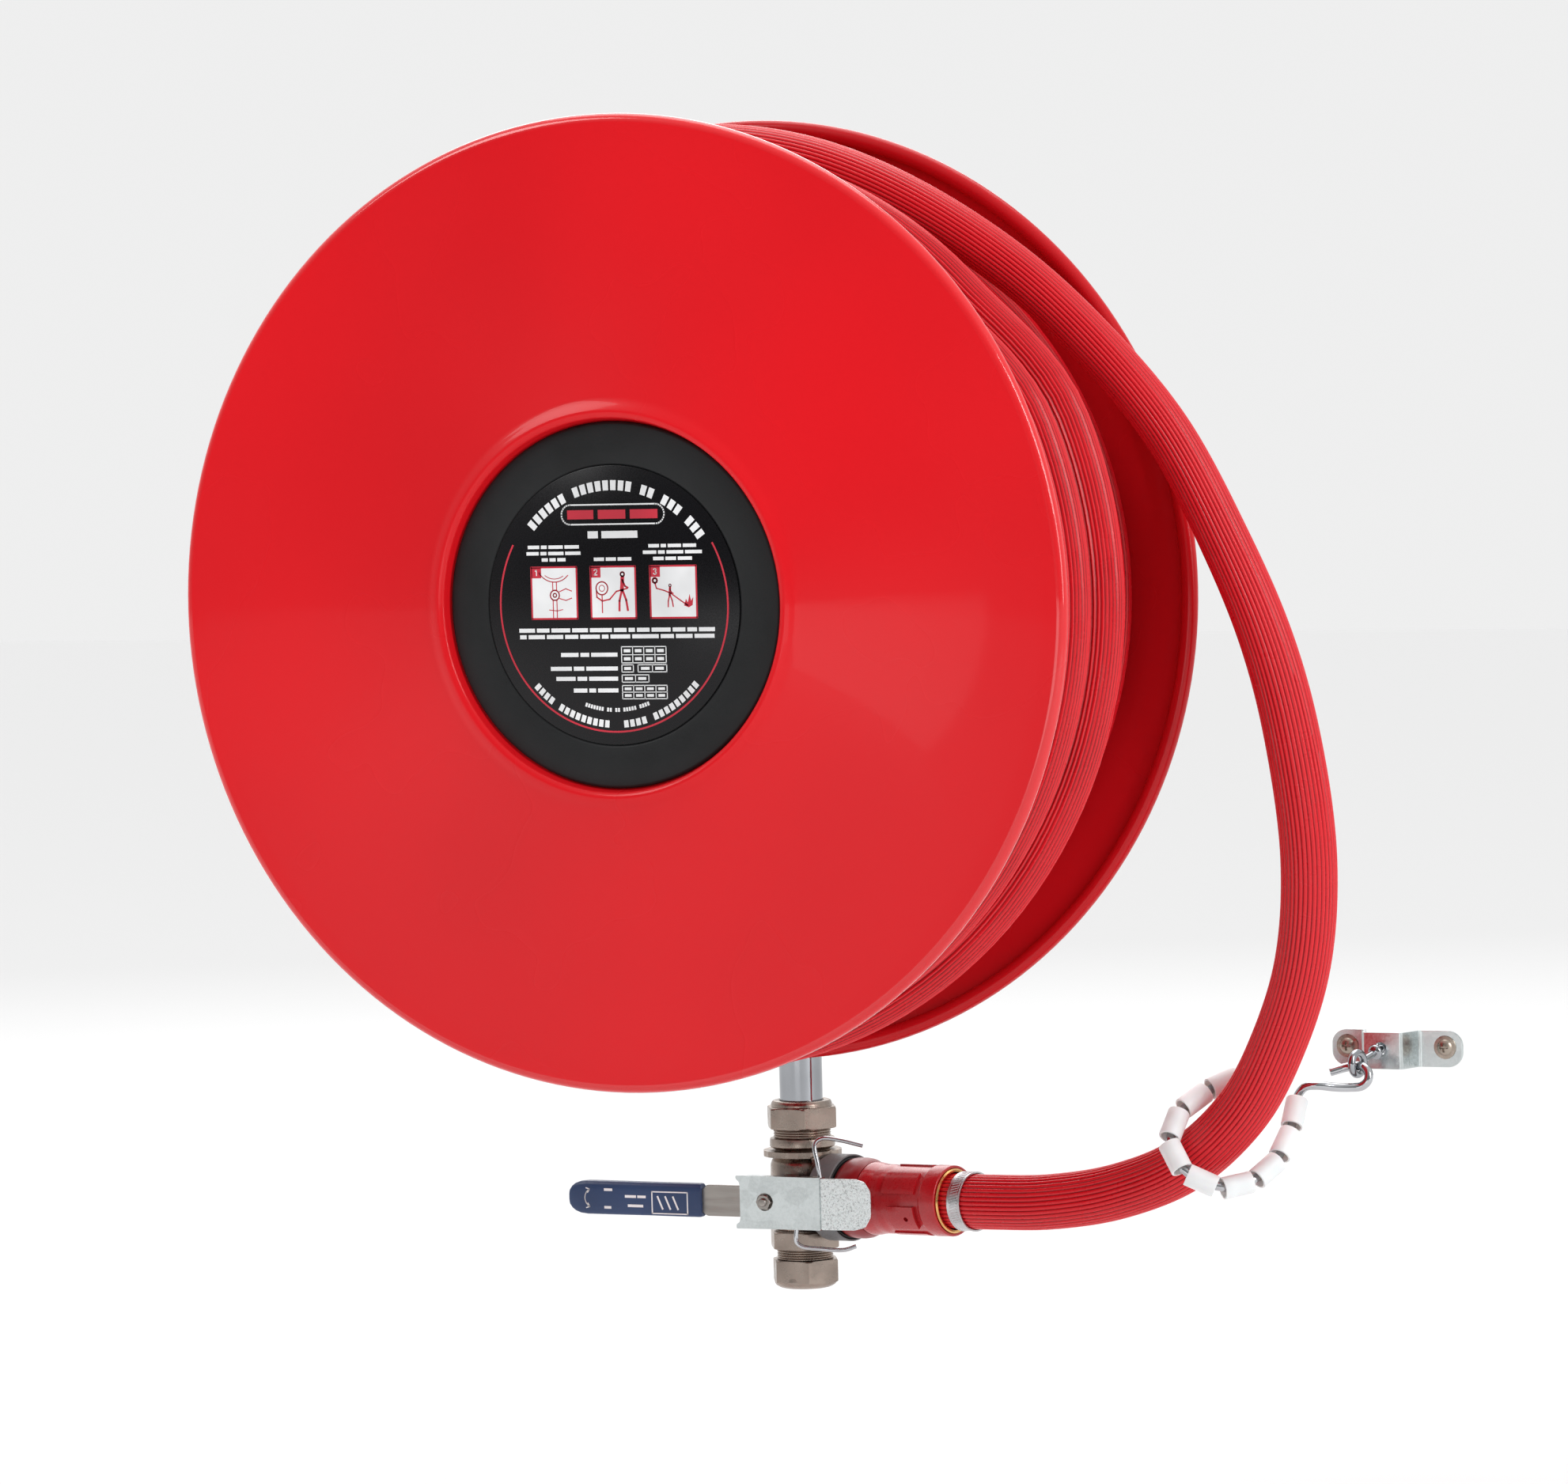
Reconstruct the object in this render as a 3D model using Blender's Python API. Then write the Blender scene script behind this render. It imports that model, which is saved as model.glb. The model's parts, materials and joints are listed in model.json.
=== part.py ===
"""Wall-mounted fire hose reel: a drum of rubber hose on a fixed water-fed spindle, its stop valve and nozzle.

Metres, +Z up. The wall is the plane y = 0 and the reel stands out from it towards -Y.
The origin is on the wall, on the axis that the drum turns about.
"""

from math import atan2, cos, degrees, pi, radians, sin, sqrt

import bmesh
import bpy
from mathutils import Vector

# Driving dimensions
GAP = 0.0003
FIT = 0.0005
DRUM_RADIUS = 0.300
BEAD_RADIUS = 0.0053
SHEET = 0.0015
FRONT_FACE = 0.3053
REAR_FACE = 0.0859
BARREL_RADIUS = 0.1665
BARREL_SHEET = 0.0012
HOSE_RADIUS = 0.0175
HOSE_BORE_RADIUS = 0.0125
PACK_BORE_RADIUS = 0.1677
FULL_PACK_RADIUS = 0.2624
TOP_LAYER_RADIUS = 0.2995
TOP_LAYER_FRONT = 0.2940
TOP_LAYER_REAR = 0.1900
TOP_LAYER_STEP = 0.2850
CAP_RADIUS = 0.1125
CAP_FACE = 0.3023
CAP_DEPTH = 0.0035
PLATE_SIZE = 0.240
PLATE_DEPTH = 0.006
PLATE_HOLE_PITCH = 0.190
PLATE_HOLE_RADIUS = 0.0055
FLANGE_RADIUS = 0.045
FLANGE_BACK = PLATE_DEPTH + GAP
FLANGE_FRONT = 0.0143
FLANGE_BOLT_X = 0.034
PIPE_Y = -0.050
PIPE_RADIUS = 0.014
PIPE_BORE_RADIUS = 0.0128
PIPE_TOP = -0.0420
PIPE_FOOT = -0.3520
SPINDLE_RADIUS = 0.017
SPINDLE_BORE_RADIUS = 0.012
SPINDLE_BACK = 0.0645
SPINDLE_FRONT = 0.2720
SPINDLE_TIP = 0.2900
SPINDLE_THREAD_RADIUS = 0.010
PORT_Y = -0.190
PORT_RADIUS = 0.008
HUB_BORE_RADIUS = 0.0205
HUB_RADIUS = 0.0255
VALVE_Z = -0.3902
VALVE_BORE_RADIUS = 0.0120
BALL_RADIUS = 0.0165
STEM_RADIUS = 0.006
STEM_THREAD_RADIUS = 0.0027
LEVER_BACK = 0.1048
LEVER_SHEET = 0.003
LEVER_BOSS_RADIUS = 0.0057
OUTLET_X = -0.0735
OUTLET_BEND = 0.1535
NOZZLE_START = Vector((0.0470, -0.0650, -0.3915))
NOZZLE_END = Vector((0.1214, -0.0832, -0.3893))
GUIDE_WIRE_RADIUS = 0.0028
CRADLE_WIRE_RADIUS = 0.0014
ROLLERS = 10
ROLLER_LENGTH = 0.0172
ROLLER_RADIUS = 0.0070
ROLLER_BORE_RADIUS = 0.0036
FIRST_ROLLER = 0.0125
ROLLER_PITCH = 0.0230
GUIDE_SCREW_Z = -0.2940
SWIVEL_POINT = Vector((0.3874, -0.0190, -0.2938))
EYE_CENTRE = Vector((0.3812, -0.0440, -0.3008))

# The free hose, from the top of the drum, down through the guide ring and back to the nozzle
HOSE_ROUTE = [
    (-0.0490, -0.1720, 0.2770), (0.0150, -0.1710, 0.2806), (0.0770, -0.1680, 0.2705),
    (0.1380, -0.1630, 0.2455), (0.2027, -0.1510, 0.2021), (0.2510, -0.1410, 0.1560),
    (0.2976, -0.1320, 0.0979), (0.3332, -0.1265, 0.0281), (0.3571, -0.1235, -0.0313),
    (0.3711, -0.1205, -0.0886), (0.3792, -0.1165, -0.1666), (0.3721, -0.1115, -0.2305),
    (0.3537, -0.1070, -0.2802), (0.3280, -0.1038, -0.3235), (0.2878, -0.1015, -0.3590),
    (0.2425, -0.1000, -0.3775), (0.1943, -0.0965, -0.3862), (0.1500, -0.0902, -0.3884),
    (0.1270, -0.0846, -0.3891), (0.1026, -0.0786, -0.3899),
]

# The guide's wire, from its cut end through the swivel's eye and along the arm, then round the hose
HOOK_ROUTE = [
    (0.3640, -0.0480, -0.3060), (0.3725, -0.0440, -0.3035), (0.3811, -0.0443, -0.3021),
    (0.3862, -0.0457, -0.3028), (0.3896, -0.0475, -0.3065), (0.3893, -0.0487, -0.3110),
    (0.3852, -0.0490, -0.3144), (0.3790, -0.0510, -0.3150), (0.3704, -0.0560, -0.3145),
    (0.3603, -0.0620, -0.3130), (0.3530, -0.0630, -0.3140),
]
LOOP_ROUTE = [
    (0.3479, -0.0629, -0.3198), (0.3483, -0.0685, -0.3272), (0.3478, -0.0837, -0.3458),
    (0.3406, -0.1028, -0.3630), (0.3223, -0.1223, -0.3706), (0.3003, -0.1310, -0.3613),
    (0.2881, -0.1272, -0.3453), (0.2881, -0.1131, -0.3276), (0.2999, -0.0940, -0.3146),
    (0.3131, -0.0787, -0.3075), (0.3260, -0.0690, -0.3072), (0.3330, -0.0662, -0.3105),
]

# The nozzle holder's two bent wires
UPPER_WIRE_ROUTE = [
    (0.0340, -0.0960, -0.3790), (0.0315, -0.0955, -0.3660), (0.0292, -0.0940, -0.3540),
    (0.0330, -0.0920, -0.3505), (0.0430, -0.0860, -0.3520), (0.0560, -0.0790, -0.3560),
]
LOWER_WIRE_ROUTE = [
    (0.0158, -0.0960, -0.4085), (0.0158, -0.0965, -0.4170), (0.0190, -0.0960, -0.4198),
    (0.0320, -0.0930, -0.4215), (0.0460, -0.0890, -0.4222), (0.0530, -0.0860, -0.4200),
]


def material(name, colour, metallic, roughness):
    made = bpy.data.materials.new(name)
    made.use_nodes = True
    shader = made.node_tree.nodes["Principled BSDF"]
    shader.inputs["Base Color"].default_value = (*colour, 1.0)
    shader.inputs["Metallic"].default_value = metallic
    shader.inputs["Roughness"].default_value = roughness
    made.diffuse_color = (*colour, 1.0)
    return made


def joint_frame(name, place):
    """An empty on a joint's axis, which the pieces of that moving body hang on."""
    empty = bpy.data.objects.new(name, None)
    empty.location = place
    bpy.context.scene.collection.objects.link(empty)
    return empty


def add(name, data, look=None, at=(0, 0, 0), turn=None, parent=None):
    made = bpy.data.objects.new(name, data)
    bpy.context.scene.collection.objects.link(made)
    place = Vector(at)
    if parent is not None:
        made.parent = parent
        place = place - parent.location
    made.location = place
    if turn is not None:
        made.rotation_mode = "QUATERNION"
        made.rotation_quaternion = turn
    if look is not None:
        data.materials.append(look)
    return made


def along(direction):
    """The rotation that takes +Z to the direction."""
    return Vector((0, 0, 1)).rotation_difference(Vector(direction).normalized())


TO_FRONT = along((0, -1, 0))


def mesh_from(shape, name):
    bmesh.ops.remove_doubles(shape, verts=shape.verts, dist=2e-6)
    bmesh.ops.recalc_face_normals(shape, faces=shape.faces)
    mesh = bpy.data.meshes.new(name)
    shape.to_mesh(mesh)
    shape.free()
    mesh.shade_smooth()
    mesh.set_sharp_from_angle(angle=radians(35))
    return mesh


def turned(name, profile, look=None, at=(0, 0, 0), axis=(0, 0, 1), steps=20, parent=None):
    """A lathe shape from (radius, height) points: a closed outline, or a chain from the axis to the axis."""
    shape = bmesh.new()
    points = [shape.verts.new((radius, 0, height)) for radius, height in profile]
    edges = [shape.edges.new(pair) for pair in zip(points, points[1:])]
    if profile[0][0] > 0:
        edges.append(shape.edges.new((points[-1], points[0])))
    bmesh.ops.spin(shape, geom=points + edges, cent=(0, 0, 0), axis=(0, 0, 1), angle=2 * pi, steps=steps)
    return add(name, mesh_from(shape, name), look, at, along(axis), parent)


def pin(name, radius, low, high, look=None, at=(0, 0, 0), axis=(0, 0, 1), steps=16, parent=None):
    profile = [(0, high), (radius, high), (radius, low), (0, low)]
    return turned(name, profile, look, at, axis, steps, parent)


def ring(name, inner, outer, low, high, look=None, at=(0, 0, 0), axis=(0, 0, 1), steps=20, parent=None):
    profile = [(outer, high), (outer, low), (inner, low), (inner, high)]
    return turned(name, profile, look, at, axis, steps, parent)


def extruded(name, outline, low, high, look=None, at=(0, 0, 0), axis=(0, 0, 1), parent=None):
    """An outline of (x, y) points pulled from low to high along its own +Z."""
    shape = bmesh.new()
    face = shape.faces.new([shape.verts.new((x, y, low)) for x, y in outline])
    pulled = bmesh.ops.extrude_face_region(shape, geom=[face])
    risen = [item for item in pulled["geom"] if isinstance(item, bmesh.types.BMVert)]
    bmesh.ops.translate(shape, verts=risen, vec=(0, 0, high - low))
    return add(name, mesh_from(shape, name), look, at, along(axis), parent)


def upright(name, outline, back, front, look=None, at=(0, 0, 0), parent=None):
    """An outline of (x, z) points pulled towards the front, from depth back to depth front."""
    shape = bmesh.new()
    face = shape.faces.new([shape.verts.new((x, -back, z)) for x, z in outline])
    pulled = bmesh.ops.extrude_face_region(shape, geom=[face])
    risen = [item for item in pulled["geom"] if isinstance(item, bmesh.types.BMVert)]
    bmesh.ops.translate(shape, verts=risen, vec=(0, back - front, 0))
    return add(name, mesh_from(shape, name), look, at, None, parent)


def box(name, low, high, look=None, parent=None):
    outline = [(low[0], low[2]), (high[0], low[2]), (high[0], high[2]), (low[0], high[2])]
    return upright(name, outline, -high[1], -low[1], look, (0, 0, 0), parent)


def hexagon(across_flats):
    corner = across_flats / sqrt(3)
    return [(corner * cos(pi * k / 3), corner * sin(pi * k / 3)) for k in range(6)]


def arc(centre, radius, start, end, steps):
    turns = [radians(start + (end - start) * k / steps) for k in range(steps + 1)]
    return [(centre[0] + radius * cos(t), centre[1] + radius * sin(t)) for t in turns]


def boolean(target, tool, operation):
    change = target.modifiers.new(tool.name, "BOOLEAN")
    change.operation = operation
    change.solver = "EXACT"
    change.object = tool
    tool.hide_render = True
    tool.display_type = "WIRE"


def cut(target, tool):
    boolean(target, tool, "DIFFERENCE")


def weld(target, tool):
    boolean(target, tool, "UNION")


def chamfered(target, width):
    bevel = target.modifiers.new("edges", "BEVEL")
    bevel.width = width
    bevel.segments = 1
    bevel.limit_method = "ANGLE"
    bevel.angle_limit = radians(50)


def smooth_route(points, spacing):
    """Points at an even spacing on the centripetal Catmull-Rom curve through the route's own points."""
    route = [Vector(p) for p in points]
    route = [2 * route[0] - route[1]] + route + [2 * route[-1] - route[-2]]
    fine = []
    for a, b, c, d in zip(route, route[1:], route[2:], route[3:]):
        t1 = (b - a).length ** 0.5
        t2 = t1 + (c - b).length ** 0.5
        t3 = t2 + (d - c).length ** 0.5
        for k in range(20):
            t = t1 + (t2 - t1) * k / 20
            ab = a + (b - a) * (t / t1)
            bc = b + (c - b) * ((t - t1) / (t2 - t1))
            cd = c + (d - c) * ((t - t2) / (t3 - t2))
            abc = ab + (bc - ab) * (t / t2)
            bcd = bc + (cd - bc) * ((t - t1) / (t3 - t1))
            fine.append(abc + (bcd - abc) * ((t - t1) / (t2 - t1)))
    fine.append(route[-2])
    lengths = [0.0]
    for a, b in zip(fine, fine[1:]):
        lengths.append(lengths[-1] + (b - a).length)
    count = max(2, round(lengths[-1] / spacing))
    even = []
    at = 0
    for k in range(count + 1):
        goal = lengths[-1] * k / count
        while at < len(fine) - 2 and lengths[at + 1] < goal:
            at += 1
        share = (goal - lengths[at]) / (lengths[at + 1] - lengths[at])
        even.append(fine[at] + (fine[at + 1] - fine[at]) * share)
    return even


def wire(name, points, radius, look, parent=None, sides=2):
    curve = bpy.data.curves.new(name, "CURVE")
    curve.dimensions = "3D"
    curve.bevel_depth = radius
    curve.bevel_resolution = sides
    curve.use_fill_caps = True
    spline = curve.splines.new("POLY")
    spline.points.add(len(points) - 1)
    origin = parent.location if parent is not None else Vector((0, 0, 0))
    for knot, point in zip(spline.points, points):
        knot.co = (*(Vector(point) - origin), 1.0)
    made = bpy.data.objects.new(name, curve)
    bpy.context.scene.collection.objects.link(made)
    made.parent = parent
    curve.materials.append(look)
    return made


def hollow_hose(name, points, outer, inner, look, parent, sides=12):
    """An open-ended hose: an outer and an inner skin along the points, joined at both ends."""
    shape = bmesh.new()
    rows = []
    for k, point in enumerate(points):
        ahead = points[min(k + 1, len(points) - 1)] - points[max(k - 1, 0)]
        ahead.normalize()
        across = Vector((0, 1, 0))
        beside = ahead.cross(across)
        turns = [2 * pi * s / sides for s in range(sides)]
        for radius in (outer, inner):
            rim = [point + radius * (cos(t) * across + sin(t) * beside) for t in turns]
            rows.append([shape.verts.new(p - parent.location) for p in rim])
    outside, inside = rows[0::2], rows[1::2]
    strips = list(zip(outside, outside[1:])) + list(zip(inside, inside[1:]))
    strips += [(outside[0], inside[0]), (outside[-1], inside[-1])]
    for first, second in strips:
        for s in range(sides):
            t = (s + 1) % sides
            shape.faces.new((first[s], first[t], second[t], second[s]))
    return add(name, mesh_from(shape, name), look, parent.location, None, parent)


def wall_pieces(red, brass, steel, chrome):
    half = PLATE_SIZE / 2
    plate = box("wall_plate", (-half, -PLATE_DEPTH, -half), (half, 0, half), red)
    hole = PLATE_HOLE_PITCH / 2
    for k, (x, z) in enumerate(((-hole, -hole), (hole, -hole), (hole, hole), (-hole, hole))):
        cut(plate, pin(f"wall_hole_{k}", PLATE_HOLE_RADIUS, -0.01, 0.02, at=(x, 0, z), axis=(0, -1, 0)))

    elbow = turned(
        "inlet_elbow",
        [(0, 0.0805), (0.0225, 0.0805), (0.0225, 0.052), (0.0195, 0.048), (0.0195, 0.020),
         (0.024, FLANGE_FRONT), (FLANGE_RADIUS, FLANGE_FRONT), (FLANGE_RADIUS, FLANGE_BACK),
         (0, FLANGE_BACK)],
        brass, axis=(0, -1, 0), steps=28)
    weld(elbow, box("elbow_block", (-0.0240, -0.0740, -0.0700), (0.0240, -0.0260, 0.0240)))
    down_bore = turned(
        "elbow_down_bore",
        [(0, 0.003), (0.0110, 0.003), (0.0110, -0.0415), (PIPE_RADIUS + FIT, -0.0415),
         (PIPE_RADIUS + FIT, -0.080), (0, -0.080)],
        at=(0, PIPE_Y, 0), steps=22)
    front_bore = turned(
        "elbow_front_bore",
        [(0, 0.100), (SPINDLE_RADIUS + FIT, 0.100), (SPINDLE_RADIUS + FIT, SPINDLE_BACK - GAP),
         (0.0095, SPINDLE_BACK - GAP), (0.0095, 0.0450), (0, 0.0450)],
        axis=(0, -1, 0), steps=18)
    weld(down_bore, front_bore)
    cut(elbow, down_bore)
    for side, x in (("left", -FLANGE_BOLT_X), ("right", FLANGE_BOLT_X)):
        hole = pin(f"flange_hole_{side}", 0.0053, 0.0, 0.03, at=(x, 0, 0), axis=(0, -1, 0))
        cut(elbow, hole)
        cut(plate, pin(f"tapped_hole_{side}", 0.0053, -0.01, 0.02, at=(x, 0, 0), axis=(0, -1, 0)))
        bolt = extruded(
            f"flange_bolt_{side}", hexagon(0.017), FLANGE_FRONT + GAP, FLANGE_FRONT + 0.0067,
            steel, (x, 0, 0), (0, -1, 0))
        shank = pin(f"bolt_shank_{side}", 0.005, 0.001, FLANGE_FRONT + 0.002, at=(x, 0, 0), axis=(0, -1, 0))
        weld(bolt, shank)

    spindle = turned(
        "fixed_spindle",
        [(0, SPINDLE_TIP), (0.0088, SPINDLE_TIP), (SPINDLE_THREAD_RADIUS, SPINDLE_TIP - 0.0012),
         (SPINDLE_THREAD_RADIUS, SPINDLE_FRONT), (SPINDLE_RADIUS, SPINDLE_FRONT),
         (SPINDLE_RADIUS, SPINDLE_BACK), (SPINDLE_BORE_RADIUS, SPINDLE_BACK), (SPINDLE_BORE_RADIUS, 0.206),
         (0, 0.211)],
        steel, axis=(0, -1, 0))
    cut(spindle, pin("spindle_port", PORT_RADIUS, -0.03, 0.03, at=(0, PORT_Y, 0), axis=(1, 0, 0), steps=16))
    nut = extruded("spindle_nut", hexagon(0.030), 0.2755, 0.2840, steel, axis=(0, -1, 0))
    weld(nut, pin("spindle_nut_flange", 0.021, 0.2730, 0.2762, axis=(0, -1, 0)))
    cut(nut, pin("spindle_nut_bore", SPINDLE_THREAD_RADIUS + FIT, 0.26, 0.30, axis=(0, -1, 0)))
    ring("inlet_pipe", PIPE_BORE_RADIUS, PIPE_RADIUS, PIPE_FOOT, PIPE_TOP, chrome, (0, PIPE_Y, 0))


def valve_pieces(nickel, brass, ptfe):
    at = (0, PIPE_Y, 0)
    nut = extruded("pipe_nut", hexagon(0.0425), -0.3485, -0.3335, nickel, at)
    weld(nut, pin("pipe_nut_collar", 0.0198, -0.340, -0.3305, at=at))
    cut(nut, pin("pipe_nut_bore", PIPE_RADIUS + FIT, -0.36, -0.32, at=at))
    cut(nut, pin("pipe_nut_thread", 0.0190, -0.36, -0.3440, at=at))

    body = turned(
        "valve_body",
        [(0, -0.3445), (0.0183, -0.3445), (0.0183, -0.3547), (0.0208, -0.3547), (0.0208, -0.3609),
         (0.0170, -0.3622), (0.0170, -0.3668), (0.0206, -0.3700), (0.0206, -0.4120), (0.0185, -0.4145),
         (0.0185, -0.4200), (0.0174, -0.4263), (0.0174, -0.4435), (0, -0.4435)],
        nickel, at)
    weld(body, extruded("valve_lower_hex", hexagon(0.0420), -0.4263, -0.4145, at=at))
    weld(body, pin("valve_bonnet", 0.0135, 0.050, 0.0880, at=(0, 0, VALVE_Z), axis=(0, -1, 0)))
    cut(body, pin("valve_waterway", VALVE_BORE_RADIUS, -0.46, -0.33, at=at))
    cut(body, pin("valve_chamber", 0.0172, VALVE_Z - 0.0172, VALVE_Z + 0.0172, at=at))
    cut(body, pin("valve_pipe_seat", PIPE_RADIUS + FIT, PIPE_FOOT - GAP, -0.33, at=at))
    cut(body, pin("valve_stem_hole", STEM_RADIUS + FIT, 0.055, 0.10, at=(0, 0, VALVE_Z), axis=(0, -1, 0)))
    cap = extruded("supply_nut", hexagon(0.0400), -0.4485, -0.4337, nickel, at)
    weld(cap, turned(
        "supply_nut_end",
        [(0, -0.4460), (0.0200, -0.4460), (0.0196, -0.4490), (0.0165, -0.4521), (0, -0.4521)],
        at=at))
    cut(cap, pin("supply_nut_thread", 0.0180, -0.4440, -0.42, at=at))
    cut(cap, pin("supply_nut_mouth", VALVE_BORE_RADIUS, -0.46, -0.43, at=at))
    gland = extruded("gland_nut", hexagon(0.0225), 0.0883, 0.0955, nickel, (0, 0, VALVE_Z), (0, -1, 0))
    cut(gland, pin("gland_bore", STEM_RADIUS + FIT, 0.08, 0.10, at=(0, 0, VALVE_Z), axis=(0, -1, 0)))
    touch = BALL_RADIUS + FIT
    high = 0.0168
    for side, up in (("upper", 1), ("lower", -1)):
        profile = [
            (sqrt(touch**2 - 0.0112**2), 0.0112 * up), (sqrt(touch**2 - 0.0095**2), 0.0095 * up),
            (0.0166, 0.0095 * up), (0.0166, high * up), (VALVE_BORE_RADIUS, high * up)]
        turned(f"ball_seat_{side}", profile, ptfe, (0, PIPE_Y, VALVE_Z))


def lever_pieces(brass, steel, zinc, blue, chrome):
    centre = (0, PIPE_Y, VALVE_Z)
    axis = joint_frame("lever_axis", centre)
    steps = 8
    chain = arc((0, 0), BALL_RADIUS, 90, -90, steps)
    chain = [(0, BALL_RADIUS)] + chain[1:-1] + [(0, -BALL_RADIUS)]
    ball = turned("valve_ball", chain, chrome, centre, steps=16, parent=axis)
    cut(ball, pin("ball_waterway", 0.0105, -0.03, 0.03, at=centre, axis=(1, 0, 0), parent=axis))
    slot_half = 0.0026
    cut(ball, box(
        "ball_slot", (-0.02, -0.075, VALVE_Z - slot_half), (0.02, -0.0612, VALVE_Z + slot_half), parent=axis))
    stem = turned(
        "valve_stem",
        [(0, 0.1125), (STEM_THREAD_RADIUS, 0.1125), (STEM_THREAD_RADIUS, LEVER_BACK - GAP),
         (STEM_RADIUS, LEVER_BACK - GAP), (STEM_RADIUS, 0.0672), (0, 0.0672)],
        brass, (0, 0, VALVE_Z), (0, -1, 0), 20, axis)
    tang = 0.0022
    weld(stem, box(
        "stem_tang", (-0.0045, -0.0690, VALVE_Z - tang), (0.0045, -0.0618, VALVE_Z + tang), parent=axis))

    strip_face = LEVER_BACK + LEVER_SHEET
    strip = upright(
        "lever_strip",
        [(-0.128, -0.3985), (-0.0445, -0.3985), (-0.0420, -0.4005), (0.0120, -0.4005), (0.0120, -0.3803),
         (-0.0420, -0.3803), (-0.0445, -0.3835), (-0.128, -0.3835)],
        LEVER_BACK, strip_face, steel, parent=axis)
    screw_hole = STEM_THREAD_RADIUS + FIT
    stem_at = (0, 0, VALVE_Z)
    front = (0, -1, 0)
    cut(strip, pin("strip_hole", screw_hole, 0.09, 0.12, at=stem_at, axis=front, parent=axis))
    rounded = arc((-0.1302, -0.3910), 0.0100, 150, 210, 4)
    sleeve = upright(
        "lever_sleeve",
        [(-0.0450, -0.3803), (-0.1320, -0.3795), *rounded, (-0.1320, -0.4012), (-0.0450, -0.4018)],
        0.1015, 0.1111, blue, parent=axis)
    chamfered(sleeve, 0.0012)
    slot_low = (-0.1285, -strip_face - GAP, -0.3988)
    slot_high = (-0.03, -LEVER_BACK + GAP, -0.3832)
    cut(sleeve, box("sleeve_slot", slot_low, slot_high, parent=axis))
    face = strip_face + GAP
    nut = extruded("lever_nut", hexagon(0.009), face, face + 0.0041, steel, stem_at, front, axis)
    cut(nut, pin("lever_nut_bore", screw_hole, 0.1, 0.12, at=stem_at, axis=front, parent=axis))

    plate = upright(
        "interlock_plate",
        [(-0.0203, -0.3736), (-0.0203, -0.3762), (-0.0175, -0.3780), (-0.0175, -0.4035), (-0.0203, -0.4050),
         (-0.0203, -0.4078), (0.0640, -0.4068), (0.0706, -0.4048), (0.0744, -0.3990), (0.0744, -0.3810),
         (0.0706, -0.3757), (0.0640, -0.3740)],
        face, face + SHEET, zinc, parent=axis)
    for side, low in (("upper", -0.3756), ("lower", -0.4078)):
        flange_low = (-0.0150, -face - 0.001, low)
        flange_high = (0.0385, -0.1000, low + SHEET)
        weld(plate, box(f"plate_{side}_flange", flange_low, flange_high, parent=axis))
    cut(plate, pin("plate_hole", LEVER_BOSS_RADIUS, 0.1, 0.12, at=stem_at, axis=front, parent=axis))


def nozzle_pieces(red, dark_red, black, brass, steel, grey):
    axis = NOZZLE_END - NOZZLE_START
    length = axis.length
    body = turned(
        "nozzle_body",
        [(0.0205, length), (0.0216, length - 0.0008), (0.0220, length - 0.003), (0.0218, 0.030),
         (0.0232, 0.0170), (0.0236, 0.0130), (0.0080, 0.0130), (0.0080, 0.0490), (0.0195, 0.0500),
         (0.0195, length - 0.0225), (0.0205, length - 0.0215)],
        red, NOZZLE_START, axis)
    boss = box("nozzle_boss", (-0.0075, -0.0240, 0.0380), (0.0060, -0.0205, 0.0520))
    boss.location = NOZZLE_START
    boss.rotation_mode = "QUATERNION"
    boss.rotation_quaternion = along(axis)
    weld(body, boss)
    ring("nozzle_ferrule", 0.0187, 0.0202, length - 0.0212, length - 0.0004, brass, NOZZLE_START, axis)
    clip = ring(
        "nozzle_clip", HOSE_RADIUS + 0.0009, 0.0198, length + 0.0075, length + 0.0180, steel, NOZZLE_START,
        axis)
    housing = box("clip_screw", (-0.007, 0.0180, 0.0), (0.007, 0.0255, 0.008))
    housing.location = NOZZLE_START + axis.normalized() * (length + 0.0088)
    housing.rotation_mode = "QUATERNION"
    housing.rotation_quaternion = along(axis)
    weld(clip, housing)

    twist = joint_frame("nozzle_axis", NOZZLE_START)
    turned(
        "nozzle_head",
        [(0.0235, 0.0127), (0.0258, 0.0085), (0.0260, 0.0), (0.0250, -0.0045), (0.0065, -0.0045),
         (0.0065, 0.0127)],
        dark_red, NOZZLE_START, axis, parent=twist)
    ring("nozzle_bumper", 0.0100, 0.0242, -0.0125, -0.0048, black, NOZZLE_START, axis, parent=twist)

    turned(
        "cradle_cup",
        [(0.0280, -0.0060), (0.0280, -0.0220), (0.0268, -0.0230), (0.0090, -0.0230), (0.0090, -0.0214),
         (0.0265, -0.0214), (0.0265, -0.0060)],
        grey, NOZZLE_START, axis)
    turned(
        "cradle_lining",
        [(0.0262, -0.0066), (0.0262, -0.0210), (0.0110, -0.0210), (0.0110, -0.0145), (0.0246, -0.0140),
         (0.0246, -0.0066)],
        black, NOZZLE_START, axis)


def cradle_pieces(zinc, chrome):
    axis = (NOZZLE_END - NOZZLE_START).normalized()
    bracket = ring("cradle_bracket", 0.0174, 0.0255, -0.3664, -0.3626, zinc, (0, PIPE_Y, 0))
    arm = box("cradle_arm", (-0.0290, -0.0090, -0.0262), (0.0105, 0.0100, -0.0234))
    arm.location = NOZZLE_START
    arm.rotation_mode = "QUATERNION"
    arm.rotation_quaternion = along(axis)
    weld(bracket, arm)
    wire("cradle_wire_upper", smooth_route(UPPER_WIRE_ROUTE, 0.006), CRADLE_WIRE_RADIUS, chrome)
    wire("cradle_wire_lower", smooth_route(LOWER_WIRE_ROUTE, 0.006), CRADLE_WIRE_RADIUS, chrome)


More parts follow.
